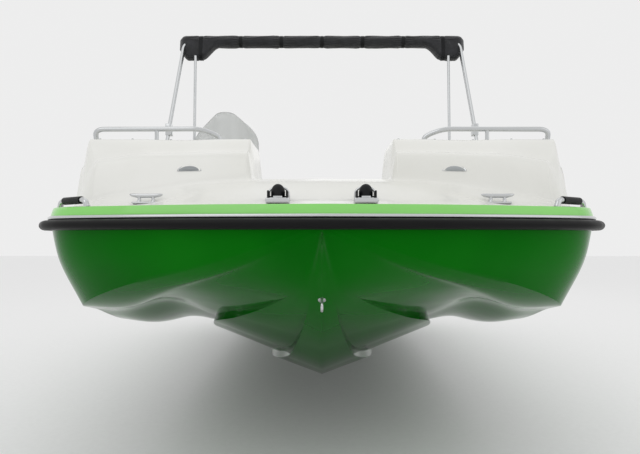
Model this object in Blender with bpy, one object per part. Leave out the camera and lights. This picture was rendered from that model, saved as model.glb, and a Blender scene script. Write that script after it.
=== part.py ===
"""A deck boat: planing hull with sponsons, walk-through bow, helm, folded bimini top and outboard motor.

Metres, +Z up. The bow points along -Y, starboard is -X and port is +X.
The origin is on the centreline at the design waterline.
"""
import bpy
import bmesh
import numpy as np
from math import cos, pi, radians, sin
from mathutils import Matrix, Vector

# ---- driving dimensions -------------------------------------------------------------------------
BEAM = 2.59              # over the rub rail
HULL_LENGTH = 5.80       # stem head to transom
BOW_Y = -3.05            # stem head, under the rub rail
DRAFT = 0.33             # waterline down to the keel
FREEBOARD = 0.65         # waterline up to the rub rail
COAMING_RISE = 0.41      # rub rail up to the coaming top
DECK_CROWN = 0.20        # rub rail up to the foredeck's highest line
GAP = 0.0003             # between pieces that touch
CLEARANCE = 0.008        # between pieces that move past each other

SOLE_Z = 0.12            # cockpit floor above the waterline
LINER_WALL = 0.025
COCKPIT_INSET = 0.295    # rub rail in to the cockpit wall
SHOULDER_WIDTH = 0.05    # ledge between rub rail and coaming foot
WALKWAY_WIDTH = 0.64     # between the bow pods
SEAT_TOP_Z = 0.50        # top of the seat boxes
CUSHION_THICKNESS = 0.09
BACKREST_THICKNESS = 0.09

RAIL_HEIGHT = 0.044      # rub rail, top to bottom
RAIL_DEPTH = 0.045       # rub rail, out from the hull
STRAKE_STEP = 0.038      # height of a spray strake's edge
TUBE_RADIUS = 0.0125     # stainless rails
CANOPY_TUBE_RADIUS = 0.0125

MOTOR_WELL_WIDTH = 0.84
MOTOR_WELL_LENGTH = 0.66
MOTOR_WELL_Z = 0.20
PLATFORM_LENGTH = 0.40
PLATFORM_THICKNESS = 0.07
PLATFORM_Z = 0.36
LADDER_WIDTH = 0.30      # between the ladder's two rails
LADDER_OUT = 0.022       # ladder hinge, out from the platform's edge
LADDER_UP = 0.022        # ladder hinge, up from the platform's top

ANCHOR_HALF = 0.17       # anchor locker lid, half its width
SKI_HALF = 0.19          # ski locker lid, half its width
SKI_Y0 = -0.30
SKI_Y1 = 0.60

CONSOLE_Y0 = -1.20
CONSOLE_Y1 = -0.66
CONSOLE_Z = 0.98
WHEEL_TILT = radians(30)
WHEEL_RADIUS = 0.17
SEAT_Y = 0.02
SEAT_HALF = 0.20

CANOPY_TOP = Vector((0, -0.54, 2.17))
BRACE_FOOT_Y = -0.70
HINGE_Y = -1.35

STEER_Y_OUT = 0.16       # steering axis, out from the transom
PROP_Z = -0.47

# ---- worked out ---------------------------------------------------------------------------------
HALF_BEAM = BEAM / 2
TRANSOM_Y = BOW_Y + HULL_LENGTH
COAMING_Z = FREEBOARD + COAMING_RISE
FOREDECK_Z = FREEBOARD + DECK_CROWN
COCKPIT_AFT_Y = TRANSOM_Y - MOTOR_WELL_LENGTH
WIDTH_SCALE = HALF_BEAM / 1.295
COCKPIT_SIDE = HALF_BEAM - COCKPIT_INSET
HELM_X = 0.30 - COCKPIT_SIDE
SEAT_X = 0.38 - COCKPIT_SIDE
CANOPY_X = HALF_BEAM - 0.22
CANOPY_WIDE = HALF_BEAM - 0.17
BRACE_X = CANOPY_X - 0.06
ANCHOR_Y0 = BOW_Y + 0.48
ANCHOR_Y1 = BOW_Y + 0.82
ANCHOR_Z = FREEBOARD + 0.14
RAISED_X = WALKWAY_WIDTH / 2 + LINER_WALL
RAISED_Y = -1.30
RAISED_Z = SOLE_Z + 0.18
HINGE_Z = COAMING_Z + 0.035
WHEEL_CENTRE = Vector((HELM_X, CONSOLE_Y1 + 0.105, CONSOLE_Z - 0.18))
TILT_Y = TRANSOM_Y + 0.055
TILT_Z = MOTOR_WELL_Z + 0.055
STEER_Y = TRANSOM_Y + STEER_Y_OUT
LADDER_X = (MOTOR_WELL_WIDTH / 2 + HALF_BEAM) / 2 - 0.0875
STATIONS = 29


def reset_scene():
    for item in list(bpy.data.objects):
        bpy.data.objects.remove(item, do_unlink=True)


def finish(name, colour, roughness, metallic=0.0, alpha=1.0):
    """A Principled material; colour is linear RGB."""
    made = bpy.data.materials.get(name)
    if made:
        return made
    made = bpy.data.materials.new(name)
    made.use_nodes = True
    shader = made.node_tree.nodes["Principled BSDF"]
    shader.inputs["Base Color"].default_value = (*colour, 1.0)
    shader.inputs["Roughness"].default_value = roughness
    shader.inputs["Metallic"].default_value = metallic
    shader.inputs["Alpha"].default_value = alpha
    return made


def green_gelcoat():
    return finish("green_gelcoat", (0.004, 0.11, 0.006), 0.12)


def white_gelcoat():
    return finish("white_gelcoat", (0.85, 0.85, 0.82), 0.2)


def black_vinyl():
    return finish("black_vinyl", (0.012, 0.012, 0.013), 0.45)


def stainless():
    return finish("stainless", (0.6, 0.6, 0.62), 0.15, 1.0)


def black_plastic():
    return finish("black_plastic", (0.015, 0.015, 0.016), 0.5)


def seat_vinyl():
    return finish("seat_vinyl", (0.78, 0.76, 0.7), 0.5)


def canvas():
    return finish("canvas", (0.01, 0.01, 0.012), 0.9)


def acrylic():
    return finish("acrylic", (0.7, 0.73, 0.73), 0.05, 0.0, 0.4)


def motor_paint():
    return finish("motor_paint", (0.02, 0.022, 0.025), 0.25)


# ---- mesh helpers -------------------------------------------------------------------------------
def new_object(name, mesh, surface, smooth_angle=None):
    item = bpy.data.objects.new(name, mesh)
    bpy.context.scene.collection.objects.link(item)
    item.data.materials.append(surface)
    if smooth_angle is not None:
        mesh.shade_smooth()
        mesh.set_sharp_from_angle(angle=radians(smooth_angle))
    return item


def mesh_object(name, points, faces, surface, smooth_angle=None):
    mesh = bpy.data.meshes.new(name)
    mesh.from_pydata([tuple(p) for p in points], [], faces)
    shaped = bmesh.new()
    shaped.from_mesh(mesh)
    bmesh.ops.remove_doubles(shaped, verts=shaped.verts, dist=0.00005)
    bmesh.ops.recalc_face_normals(shaped, faces=shaped.faces)
    shaped.to_mesh(mesh)
    shaped.free()
    return new_object(name, mesh, surface, smooth_angle)


def loft(name, sections, surface, smooth_angle=30):
    """A closed solid through closed section loops of equal length, capped at both ends."""
    rings = np.asarray(sections, dtype=float)
    count, size = rings.shape[:2]
    faces = []
    for i in range(count - 1):
        for j in range(size):
            k = (j + 1) % size
            faces.append((i * size + j, i * size + k, (i + 1) * size + k, (i + 1) * size + j))
    faces.append(tuple(range(size)))
    faces.append(tuple(range((count - 1) * size, count * size)))
    return mesh_object(name, rings.reshape(-1, 3), faces, surface, smooth_angle)


def box(name, low, high, surface, bevel=0.0, segments=3):
    """A box between two corners, its edges rounded by a Bevel modifier."""
    shaped = bmesh.new()
    centre = (Vector(low) + Vector(high)) / 2
    size = Vector(high) - Vector(low)
    bmesh.ops.create_cube(shaped, size=1.0, matrix=Matrix.Translation(centre) @ Matrix.Diagonal((*size,
                                                                                                 1.0)))
    mesh = bpy.data.meshes.new(name)
    shaped.to_mesh(mesh)
    shaped.free()
    item = new_object(name, mesh, surface, 30)
    if bevel:
        rounded = item.modifiers.new("rounded", "BEVEL")
        rounded.width = bevel
        rounded.segments = segments
    return item


def rod(name, start, end, radius, surface, sides=16, end_radius=None):
    """A straight round bar, or a cone when the end radius differs."""
    start, end = Vector(start), Vector(end)
    along = end - start
    turned = along.to_track_quat("Z", "Y").to_matrix().to_4x4()
    place = Matrix.Translation((start + end) / 2) @ turned
    shaped = bmesh.new()
    last = radius if end_radius is None else end_radius
    bmesh.ops.create_cone(shaped, cap_ends=True, segments=sides, radius1=radius, radius2=last,
                          depth=along.length, matrix=place)
    mesh = bpy.data.meshes.new(name)
    shaped.to_mesh(mesh)
    shaped.free()
    return new_object(name, mesh, surface, 40)


def tube(name, route, radius, surface, bend=0.06, sides=2, steps=4):
    """A bent tube: a poly curve with rounded corners, a round bevel and filled caps."""
    route = [Vector(p) for p in route]
    smooth = [route[0]]
    for before, corner, after in zip(route, route[1:], route[2:]):
        back = min(bend, (before - corner).length * 0.45)
        forth = min(bend, (after - corner).length * 0.45)
        enter = corner + (before - corner).normalized() * back
        leave = corner + (after - corner).normalized() * forth
        for step in range(steps + 1):
            t = step / steps
            smooth.append(enter.lerp(corner, t).lerp(corner.lerp(leave, t), t))
    smooth.append(route[-1])
    curve = bpy.data.curves.new(name, "CURVE")
    curve.dimensions = "3D"
    curve.bevel_depth = radius
    curve.bevel_resolution = sides
    curve.use_fill_caps = True
    spline = curve.splines.new("POLY")
    spline.points.add(len(smooth) - 1)
    for point, place in zip(spline.points, smooth):
        point.co = (*place, 1.0)
    guide = bpy.data.objects.new(name + "_curve", curve)
    mesh = bpy.data.meshes.new_from_object(guide)
    bpy.data.objects.remove(guide)
    bpy.data.curves.remove(curve)
    shaped = bmesh.new()
    shaped.from_mesh(mesh)
    bmesh.ops.remove_doubles(shaped, verts=shaped.verts, dist=0.00005)
    shaped.to_mesh(mesh)
    shaped.free()
    return new_object(name, mesh, surface, 60)


def hide(item):
    item.hide_render = True
    item.display_type = "WIRE"
    return item


def combine(item, other, operation):
    """A Boolean of item with other, which stays in the file as a hidden guide."""
    step = item.modifiers.new(operation.lower(), "BOOLEAN")
    step.operation = operation
    step.solver = "EXACT"
    step.object = hide(other)
    return item


def cut(item, other):
    return combine(item, other, "DIFFERENCE")


def unite(item, *others):
    for other in others:
        combine(item, other, "UNION")
    return item


def smooth_line(controls, count):
    """Points on a Catmull-Rom curve through the control points, evenly spread over their indices."""
    controls = np.asarray(controls, dtype=float)
    padded = np.vstack([2 * controls[0] - controls[1], controls, 2 * controls[-1] - controls[-2]])
    at = np.linspace(0, len(controls) - 1, count)
    first = np.minimum(at.astype(int), len(controls) - 2)
    t = (at - first)[:, None]
    a, b, c, d = (padded[first + k] for k in range(4))
    return 0.5 * (2 * b + (c - a) * t + (2 * a - 5 * b + 4 * c - d) * t ** 2
                  + (3 * b - a - 3 * c + d) * t ** 3)


# ---- hull ---------------------------------------------------------------------------------------
def hull_lines():
    """Long lines of the port half from keel to rub rail, each from the stem head to the transom."""
    f = FREEBOARD
    k = -DRAFT
    w = HALF_BEAM
    b = BOW_Y
    t = TRANSOM_Y
    keel = [(0, b, f - .07), (0, b + .13, .40), (0, b + .33, .22), (0, b + .60, .04),
            (0, b + 1.0, k + .17), (0, b + 1.7, k + .02), (0, b + 3.45, k), (0, t, k)]
    lower = [(0, b, f - .06), (.03, b + .14, .41), (.07, b + .36, .23), (.12, b + .67, .06),
             (.20, b + 1.07, -.10), (.34, b + 1.7, -.19), (.36, b + 3.45, k + .10), (.36, t, k + .10)]
    upper = [(0, b, f - .05), (.10, b + .20, .375), (.22, b + .41, .275), (.42, b + .67, .18),
             (.60, b + 1.0, .11), (.66, b + 1.7, -.02), (.68, b + 3.45, -.12), (.68, t, -.13)]
    tunnel = [(0, b, f - .04), (.25, b + .13, .46), (.52, b + .33, .36), (.70, b + .59, .29),
              (.79, b + .85, .245), (.85, b + 1.65, .05), (.89, b + 3.45, -.03), (.89, t, -.04)]
    inner = [(0, b, f - .03), (.34, b + .12, .46), (.70, b + .30, .345), (.90, b + .52, .255),
             (1.00, b + .78, .20), (1.04, b + 1.6, .02), (1.06, b + 3.45, -.07), (1.05, t, -.09)]
    chine = [(0, b, f - .025), (.42, b + .10, .48), (w - .455, b + .25, .37), (w - .21, b + .44, .275),
             (w - .15, b + .72, .215), (w - .12, b + 1.55, .045), (w - .11, b + 3.45, -.05), (w - .12, t,
                                                                                              -.07)]
    flare = [(0, b, f - .015), (.46, b + .07, .56), (w - .395, b + .19, .51), (w - .14, b + .36, .47),
             (w - .09, b + .66, .44), (w - .075, b + 1.5, .38), (w - .07, b + 3.45, .33), (w - .08, t,
                                                                                           .30)]
    sheer = [(0, b, f), (.50, b + .05, f), (w - .365, b + .16, f), (w - .13, b + .30, f),
             (w - .045, b + .60, f), (w - .035, b + 1.45, f), (w - .035, b + 3.45, f), (w - .06, t, f)]
    for line in (lower, upper, tunnel, inner):
        line[:] = [(x * WIDTH_SCALE, y, z) for x, y, z in line]
    return keel, lower, upper, tunnel, inner, chine, flare, sheer


def hull_grid():
    """Rows of points, keel to sheer; each spray strake is a tip row and a root row above it."""
    keel, lower, upper, tunnel, inner, chine, flare, sheer = (
        smooth_line(line, STATIONS) for line in hull_lines())
    grown = np.clip(np.linspace(0, 7, STATIONS) / 2.5, 0, 1)[:, None]
    step = grown * np.array([[-0.3 * STRAKE_STEP, 0, STRAKE_STEP]])
    rows = [keel, lower, lower + step, upper, upper + step, tunnel, inner, chine, flare, sheer]
    return np.array(rows)


def sheer_outline(inset=0.0, count=STATIONS):
    """The sheer line in plan, port side, moved inboard by an inset."""
    line = smooth_line(hull_lines()[-1], count)
    along = np.gradient(line, axis=0)
    along[0] = (1, 0, 0)
    normal = np.stack([-along[:, 1], along[:, 0], np.zeros(count)], axis=1)
    normal /= np.linalg.norm(normal, axis=1, keepdims=True)
    moved = line + normal * inset
    moved[0, 0] = 0
    return moved


def build_hull():
    rows = hull_grid()
    mirrored = rows[:0:-1] * np.array([-1, 1, 1])
    full = np.concatenate([mirrored, rows])
    sections = [full[:, i] for i in range(1, STATIONS)]
    nose = full[:, 0].copy()
    nose[:, 0] = np.linspace(-0.012, 0.012, len(nose))
    hull = loft("hull", [nose] + sections, green_gelcoat(), 35)
    well = loft("hull_well", cockpit_sections(LINER_WALL + GAP, SOLE_Z - LINER_WALL - GAP,
                                              FREEBOARD + 0.1),
                green_gelcoat())
    cut(well, raised_floor("hull_floor_port", 1, 0))
    cut(well, raised_floor("hull_floor_starboard", -1, 0))
    motor = box("hull_motor_well", (-MOTOR_WELL_WIDTH / 2, COCKPIT_AFT_Y + .03, MOTOR_WELL_Z),
                (MOTOR_WELL_WIDTH / 2, TRANSOM_Y + .1, FREEBOARD + .1), green_gelcoat())
    cut(hull, well)
    cut(hull, motor)
    return hull


def cockpit_outline(out):
    """The cockpit's plan loop, port half then starboard half, moved outwards."""
    side = COCKPIT_SIDE
    half = np.array([(.34, BOW_Y + .99), (side - .20, BOW_Y + 1.01), (side - .02, BOW_Y + 1.15),
                     (side, BOW_Y + 1.45), (side, BOW_Y + 3.55), (side, COCKPIT_AFT_Y)])
    half[:, 0] += out
    half[:2, 1] -= out
    half[-1, 1] += out
    return np.concatenate([half, half[::-1] * np.array([-1, 1])])


def raised_floor(name, side, grown):
    """The block beside the bow walkway where the hull comes up under the seat boxes."""
    xs = sorted((side * (RAISED_X - grown), side * HALF_BEAM))
    return box(name, (xs[0], BOW_Y, -DRAFT), (xs[1], RAISED_Y + grown, RAISED_Z + grown), white_gelcoat())


def cockpit_sections(out, low, high):
    loop = cockpit_outline(out)
    return [np.column_stack([loop, np.full(len(loop), z)]) for z in (low, high)]


def build_liner():
    """The cockpit moulding: sole, walls and seat boxes in one piece."""
    liner = loft("cockpit_liner", cockpit_sections(LINER_WALL, SOLE_Z - LINER_WALL, COAMING_Z - .05),
                 white_gelcoat())
    room = loft("liner_room", cockpit_sections(0, SOLE_Z, COAMING_Z + .1), white_gelcoat())
    gap = WALKWAY_WIDTH / 2 + .09
    gate = box("liner_gate", (-gap, BOW_Y + .4, FOREDECK_Z - .03), (gap, BOW_Y + 1.12, COAMING_Z + 1),
               white_gelcoat())
    aft = box("liner_aft", (-BEAM, COCKPIT_AFT_Y - .1, FREEBOARD + .03),
              (BEAM, TRANSOM_Y, COAMING_Z + 1), white_gelcoat())
    cut(liner, room)
    cut(liner, gate)
    cut(liner, aft)
    lap = .01
    side = COCKPIT_SIDE + lap
    nose = COCKPIT_SIDE - .21
    for name, low, high in (
            ("bow_front_port", (WALKWAY_WIDTH / 2, BOW_Y + 1.0, SOLE_Z - lap),
             (nose, BOW_Y + 1.2, SEAT_TOP_Z)),
            ("bow_front_starboard", (-nose, BOW_Y + 1.0, SOLE_Z - lap),
             (-WALKWAY_WIDTH / 2, BOW_Y + 1.2, SEAT_TOP_Z)),
            ("bow_box_port", (WALKWAY_WIDTH / 2, BOW_Y + 1.17, SOLE_Z - lap),
             (side - .01, -.42, SEAT_TOP_Z)),
            ("bow_box_starboard", (-side + .01, BOW_Y + 1.17, SOLE_Z - lap),
             (-WALKWAY_WIDTH / 2, -1.22, SEAT_TOP_Z)),
            ("aft_box", (-side, COCKPIT_AFT_Y - .62, SOLE_Z - lap),
             (side, COCKPIT_AFT_Y + lap, SEAT_TOP_Z - .06)),
            ("side_box", (side - .53, -.02, SOLE_Z - lap),
             (side, COCKPIT_AFT_Y - .60, SEAT_TOP_Z - .06))):
        unite(liner, box(name, low, high, white_gelcoat()))
    pit = box("ski_pit", (-SKI_HALF - CLEARANCE, SKI_Y0 - CLEARANCE, SOLE_Z - .016),
              (SKI_HALF + CLEARANCE, SKI_Y1 + CLEARANCE, SOLE_Z + .1), white_gelcoat())
    cut(liner, pit)
    cut(liner, raised_floor("liner_floor_port", 1, GAP))
    cut(liner, raised_floor("liner_floor_starboard", -1, GAP))
    return liner


def build_rub_rail():
    """A rounded rail carried round the sheer line, from transom corner to transom corner."""
    line = sheer_outline(-0.002 - GAP)
    outer = sheer_outline(-RAIL_DEPTH)
    h = RAIL_HEIGHT / 2
    centre = FREEBOARD - h
    sections = []
    for near, far in zip(line, outer):
        ring = [(*near[:2], centre + h), (*(near[:2] * .45 + far[:2] * .55), centre + h)]
        ring += [(*(near[:2] * .1 + far[:2] * .9), centre + h * .72), (*far[:2], centre + h * .2)]
        ring += [(*far[:2], centre - h * .2), (*(near[:2] * .1 + far[:2] * .9), centre - h * .72)]
        ring += [(*(near[:2] * .45 + far[:2] * .55), centre - h), (*near[:2], centre - h)]
        sections.append(np.array(ring))
    port = sections
    starboard = [s * np.array([-1, 1, 1]) for s in sections[:0:-1]]
    return loft("rub_rail", starboard + port, black_plastic(), 50)


# ---- deck ---------------------------------------------------------------------------------------
def smoothstep(t):
    t = np.clip(t, 0, 1)
    return t * t * (3 - 2 * t)


def deck_height(x, y):
    """Deck surface: an upright green band at the rail, then a ledge that rises to the crown."""
    line = sheer_outline(0, 80)
    reach = np.hypot(np.abs(x)[..., None] - line[:, 0], y[..., None] - line[:, 1]).min(axis=-1)
    band = .055 * np.clip(reach / .014, 0, 1) ** .6
    return FREEBOARD + GAP + band + (DECK_CROWN - .055) * smoothstep((reach - .014) / .5)


def build_deck():
    """The deck moulding: foredeck, side decks, bow pods and coamings in one piece."""
    line = sheer_outline(0, 41)
    outer = np.array([0, .006, .014, .06, .12, .2, .32])
    middle = np.array([.6, .3, 0])
    sections = []
    for width, y in line[:, :2]:
        width = max(width, .02)
        share = min(1, width / .6)
        x = np.concatenate([width - outer * share, (width - outer[-1] * share) * middle])
        top = np.column_stack([x, np.full(len(x), y), deck_height(x, np.full(len(x), y))])
        top[:, 2] = np.maximum(top[:, 2], FREEBOARD + GAP + .002)
        mirrored = top[-2::-1] * np.array([-1, 1, 1])
        full = np.concatenate([top, mirrored])
        base = full[[-1, 0]].copy()
        base[:, 2] = FREEBOARD + GAP
        sections.append(np.concatenate([full, base]))
    deck = loft("deck", sections, white_gelcoat(), 30)
    for side, name in ((1, "port"), (-1, "starboard")):
        unite(deck, coaming(name, side))
    well = loft("deck_well", cockpit_sections(LINER_WALL + GAP, FREEBOARD - .1, 2.0), white_gelcoat())
    motor = box("deck_motor_well", (-MOTOR_WELL_WIDTH / 2, COCKPIT_AFT_Y + .03, MOTOR_WELL_Z),
                (MOTOR_WELL_WIDTH / 2, TRANSOM_Y + .1, FREEBOARD + 1), white_gelcoat())
    cut(deck, well)
    cut(deck, motor)
    pit = box("anchor_pit", (-ANCHOR_HALF - CLEARANCE, ANCHOR_Y0 - CLEARANCE, ANCHOR_Z - .002),
              (ANCHOR_HALF + CLEARANCE, ANCHOR_Y1 + CLEARANCE, FOREDECK_Z + .1), white_gelcoat())
    cut(deck, pit)
    return deck


def coaming(name, side):
    """One bow pod with the coaming that runs aft from it, as a loft of upright sections."""
    aft = HULL_LENGTH - 5.8
    stations = ((.44, .12, .12, .32), (.52, .05, .045, .73), (.59, .02, .015, .93), (.66, 0, 0, .987),
                (.98, 0, 0, 1), (1.3, 0, 0, 1), (2.6, 0, 0, 1), (4.2 + aft, 0, 0, .975),
                (4.9 + aft, 0, 0, .88), (5.12 + aft, 0, .02, .54))
    sections = []
    for back, pull_in, pull_out, share in stations:
        outer = HALF_BEAM - SHOULDER_WIDTH - pull_out
        inner = WALKWAY_WIDTH / 2 + pull_in if back < 1.2 else COCKPIT_SIDE - .015
        rise = COAMING_RISE * share
        z = FREEBOARD + rise
        mid = FREEBOARD + .09 + .62 * max(rise - .09, 0)
        ring = [(outer, FREEBOARD + .03), (outer - .005, FREEBOARD + .09), (outer - .03, mid),
                (outer - .045, mid + .01), (outer - .055, z - .03), (outer - .085, z),
                (inner + .035, z), (inner + .008, z - .03), (inner, mid), (inner, FREEBOARD + .03)]
        sections.append(np.array([(side * x, BOW_Y + back, height) for x, height in ring]))
    return loft("coaming_" + name, sections, white_gelcoat())


# ---- bow fittings -------------------------------------------------------------------------------
def surface_z(x, y):
    return float(deck_height(np.array([x]), np.array([y]))[0])


def build_bow_fittings():
    for side, word in ((1, "port"), (-1, "starboard")):
        x = side * .175
        y = BOW_Y + .10
        base = surface_z(x, y + .02) + .006
        dome = rod("bow_dome_" + word, (x, y + .012, base + .004), (x, y + .012, base + .045), .028,
                   black_plastic(), 20)
        cap = rod("dome_cap_" + word, (x, y + .012, base + .044), (x, y + .012, base + .066), .028,
                  black_plastic(), 20, .012)
        unite(dome, cap)
        bracket = box("bow_bracket_" + word, (x - .048, y - .03, base - .03),
                      (x + .048, y + .06, base + .003), stainless(), .004, 2)
        for end in (-1, 1):
            fin = box("bracket_fin_%s_%d" % (word, end), (x + end * .041 - .005, y - .02, base - .02),
                      (x + end * .041 + .005, y + .05, base + .05), stainless(), .003, 1)
            unite(bracket, fin)
        cut_deck_under(bracket, (x - .06, y - .05), (x + .06, y + .08))
    stem = smooth_line(hull_lines()[0], 57)
    at = stem[12]
    along = stem[13] - stem[11]
    out = Vector((0, -along[2], along[1])).normalized() * (-1 if along[2] > 0 else 1)
    out = out if out.y < 0 else -out
    rod("bow_eye", Vector(at) + out * .004, Vector(at) + out * .05, .03, stainless(), 20)
    for side, word in ((1, "port"), (-1, "starboard")):
        cleat(side, word, "bow", side * .77, BOW_Y + .335)
        cleat(side, word, "stern", side * (HALF_BEAM - .115), TRANSOM_Y - .25)
        lamp = half_moon(side * .615, BOW_Y + .505, FREEBOARD + .225, .055)
        loft("docking_light_" + word, lamp, acrylic(), 30)


def cut_deck_under(item, low, high):
    """Cuts away what would stand in the deck, with a slab that follows its surface."""
    xs = np.linspace(low[0], high[0], 5)
    ys = np.linspace(low[1], high[1], 5)
    sections = []
    for y in ys:
        top = [(x, y, surface_z(x, y) + .003) for x in xs]
        base = [(xs[-1], y, FREEBOARD - .1), (xs[0], y, FREEBOARD - .1)]
        sections.append(np.array(top + base))
    return cut(item, loft(item.name + "_seat", sections, stainless()))


def cleat(side, word, place, x, y):
    z = surface_z(x, y)
    body = box("%s_cleat_%s" % (place, word), (x - .018, y - .045, z - .02),
               (x + .018, y + .045, z + .022), stainless(), .004, 2)
    horn = rod("%s_horn_%s" % (place, word), (x, y - .075, z + .032), (x, y + .075, z + .032), .012,
               stainless(), 12)
    unite(body, horn)
    cut_deck_under(body, (x - .03, y - .09), (x + .03, y + .09))
    return body


def half_moon(x, y, z, radius):
    ring = [(x + radius * cos(a), z + radius * .55 * sin(a)) for a in np.linspace(0, pi, 9)]
    return [np.array([(px, y + depth, pz) for px, pz in ring]) for depth in (-.052, -.04)]


def build_rails():
    for side, word in ((1, "port"), (-1, "starboard")):
        top = COAMING_Z + .062
        foot = COAMING_Z + GAP
        y = BOW_Y + .74
        x_out = HALF_BEAM - .15
        x_in = WALKWAY_WIDTH / 2 + .20
        route = [(side * x_out, y, foot), (side * x_out, y, foot + .02), (side * x_out, y - .02, top),
                 (side * (x_in + .09), y - .03, top),
                 (side * x_in, y, foot + .03),
                 (side * x_in, y, foot)]
        tube("bow_rail_" + word, route, TUBE_RADIUS, stainless(), .05)
        edge = HALF_BEAM - .13
        z = FREEBOARD + .085
        corner = [(side * (edge - .175), BOW_Y + .242, z - .023), (side * (edge - .170), BOW_Y + .245, z),
                  (side * (edge - .010), BOW_Y + .365, z), (side * (edge - .005), BOW_Y + .369, z - .023)]
        grab = tube("corner_rail_" + word, corner, .013, stainless(), .03)
        xs = sorted((side * (edge - .22), side * (edge + .035)))
        cut_deck_under(grab, (xs[0], BOW_Y + .20), (xs[1], BOW_Y + .42))


# ---- helm and seats -----------------------------------------------------------------------------
def profile_solid(name, x0, x1, profile, surface, smooth_angle=30):
    """A side profile of (y, z) points carried across from x0 to x1."""
    ends = [np.array([(x, y, z) for y, z in profile]) for x in (x0, x1)]
    return loft(name, ends, surface, smooth_angle)


def build_helm():
    wall = COCKPIT_SIDE - GAP
    top = [(CONSOLE_Y0, SOLE_Z + GAP), (CONSOLE_Y0, CONSOLE_Z - .1), (CONSOLE_Y0 + .05, CONSOLE_Z),
           (CONSOLE_Y1 - .16, CONSOLE_Z), (CONSOLE_Y1 - .12, CONSOLE_Z - .02),
           (CONSOLE_Y1, CONSOLE_Z - .22), (CONSOLE_Y1, CONSOLE_Z - .30), (CONSOLE_Y1 - .12,
                                                                          CONSOLE_Z - .34),
           (CONSOLE_Y1 - .12, SOLE_Z + GAP)]
    console = profile_solid("helm_console", -wall + .001, -WALKWAY_WIDTH / 2 - .06, top, white_gelcoat())
    rounded = console.modifiers.new("rounded", "BEVEL")
    rounded.width = .02
    rounded.segments = 2
    rounded.limit_method = "ANGLE"
    sections = []
    for half, rise in ((.245, 0), (.25, .18), (.235, .35), (.19, .46), (.11, .54)):
        arc = np.linspace(-1, 1, 9)
        lean = CONSOLE_Y0 + .06 + rise * .50
        outer = [(HELM_X - .035 + half * a, lean + .20 * a * a * (half / .3) ** 2,
                  CONSOLE_Z + .003 + rise) for a in arc]
        inner = [(x, y + .008, z) for x, y, z in outer[::-1]]
        sections.append(np.array(outer + inner))
    loft("windscreen", sections, acrylic(), 60)
    axis = Vector((0, cos(WHEEL_TILT), sin(WHEEL_TILT)))
    wheel_mesh_ring("steering_wheel", axis)
    boss = rod("helm_boss", WHEEL_CENTRE - axis * .14, WHEEL_CENTRE - axis * .034, .035, black_plastic(),
               20)
    cut(boss, profile_solid("boss_seat", -1, -.3, grow(top, GAP), black_plastic()))
    base = box("throttle", (-wall + .03, CONSOLE_Y1 - .03, CONSOLE_Z - .14),
               (-wall + .10, CONSOLE_Y1 + .04, CONSOLE_Z - .02), black_plastic(), .01, 2)
    lever = rod("throttle_lever", (-wall + .065, CONSOLE_Y1 - .01, CONSOLE_Z - .04),
                (-wall + .065, CONSOLE_Y1 + .03, CONSOLE_Z + .09), .010, stainless(), 12)
    grip = rod("throttle_grip", (-wall + .04, CONSOLE_Y1 + .03, CONSOLE_Z + .09),
               (-wall + .12, CONSOLE_Y1 + .03, CONSOLE_Z + .09), .018, black_plastic(), 12)
    unite(base, lever, grip)
    cut(base, profile_solid("throttle_seat", -1.1, -.3, grow(top, GAP), black_plastic()))
    pedestal = rod("seat_pedestal", (SEAT_X, SEAT_Y, SOLE_Z + GAP), (SEAT_X, SEAT_Y, .43), .045,
                   stainless(), 24)
    unite(pedestal, rod("pedestal_foot", (SEAT_X, SEAT_Y, SOLE_Z + GAP), (SEAT_X, SEAT_Y, SOLE_Z + .03),
                        .12, stainless(), 24))
    half = SEAT_HALF
    y = SEAT_Y
    shell = box("helm_seat_shell", (SEAT_X - half, y - .19, .436), (SEAT_X + half, y + .20, .47),
                white_gelcoat(), .012, 2)
    plate = [(y + .15, .44), (y + .22, .90), (y + .24, .90), (y + .18, .44)]
    unite(shell, profile_solid("seat_back_plate", SEAT_X - half + .01, SEAT_X + half - .01, plate,
                               white_gelcoat()))
    box("helm_seat_cushion", (SEAT_X - half + .01, y - .185, .471), (SEAT_X + half - .01, y + .085, .56),
        seat_vinyl(), .03, 3)
    profile = [(y + .075, .575), (y + .125, .93), (y + .20, .93), (y + .156, .575)]
    slanted = profile_solid("helm_seat_back", SEAT_X - half + .01, SEAT_X + half - .01, profile,
                            seat_vinyl())
    edge = slanted.modifiers.new("rounded", "BEVEL")
    edge.width = .02
    edge.segments = 3


def grow(profile, distance):
    """A console outline moved outwards by a small distance."""
    points = np.array(profile)
    ahead = np.roll(points, -1, axis=0) - points
    normal = np.stack([-ahead[:, 1], ahead[:, 0]], axis=1)
    normal /= np.linalg.norm(normal, axis=1, keepdims=True)
    vertex = normal + np.roll(normal, 1, axis=0)
    vertex /= np.linalg.norm(vertex, axis=1, keepdims=True)
    return [tuple(p) for p in points + vertex * distance]


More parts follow.
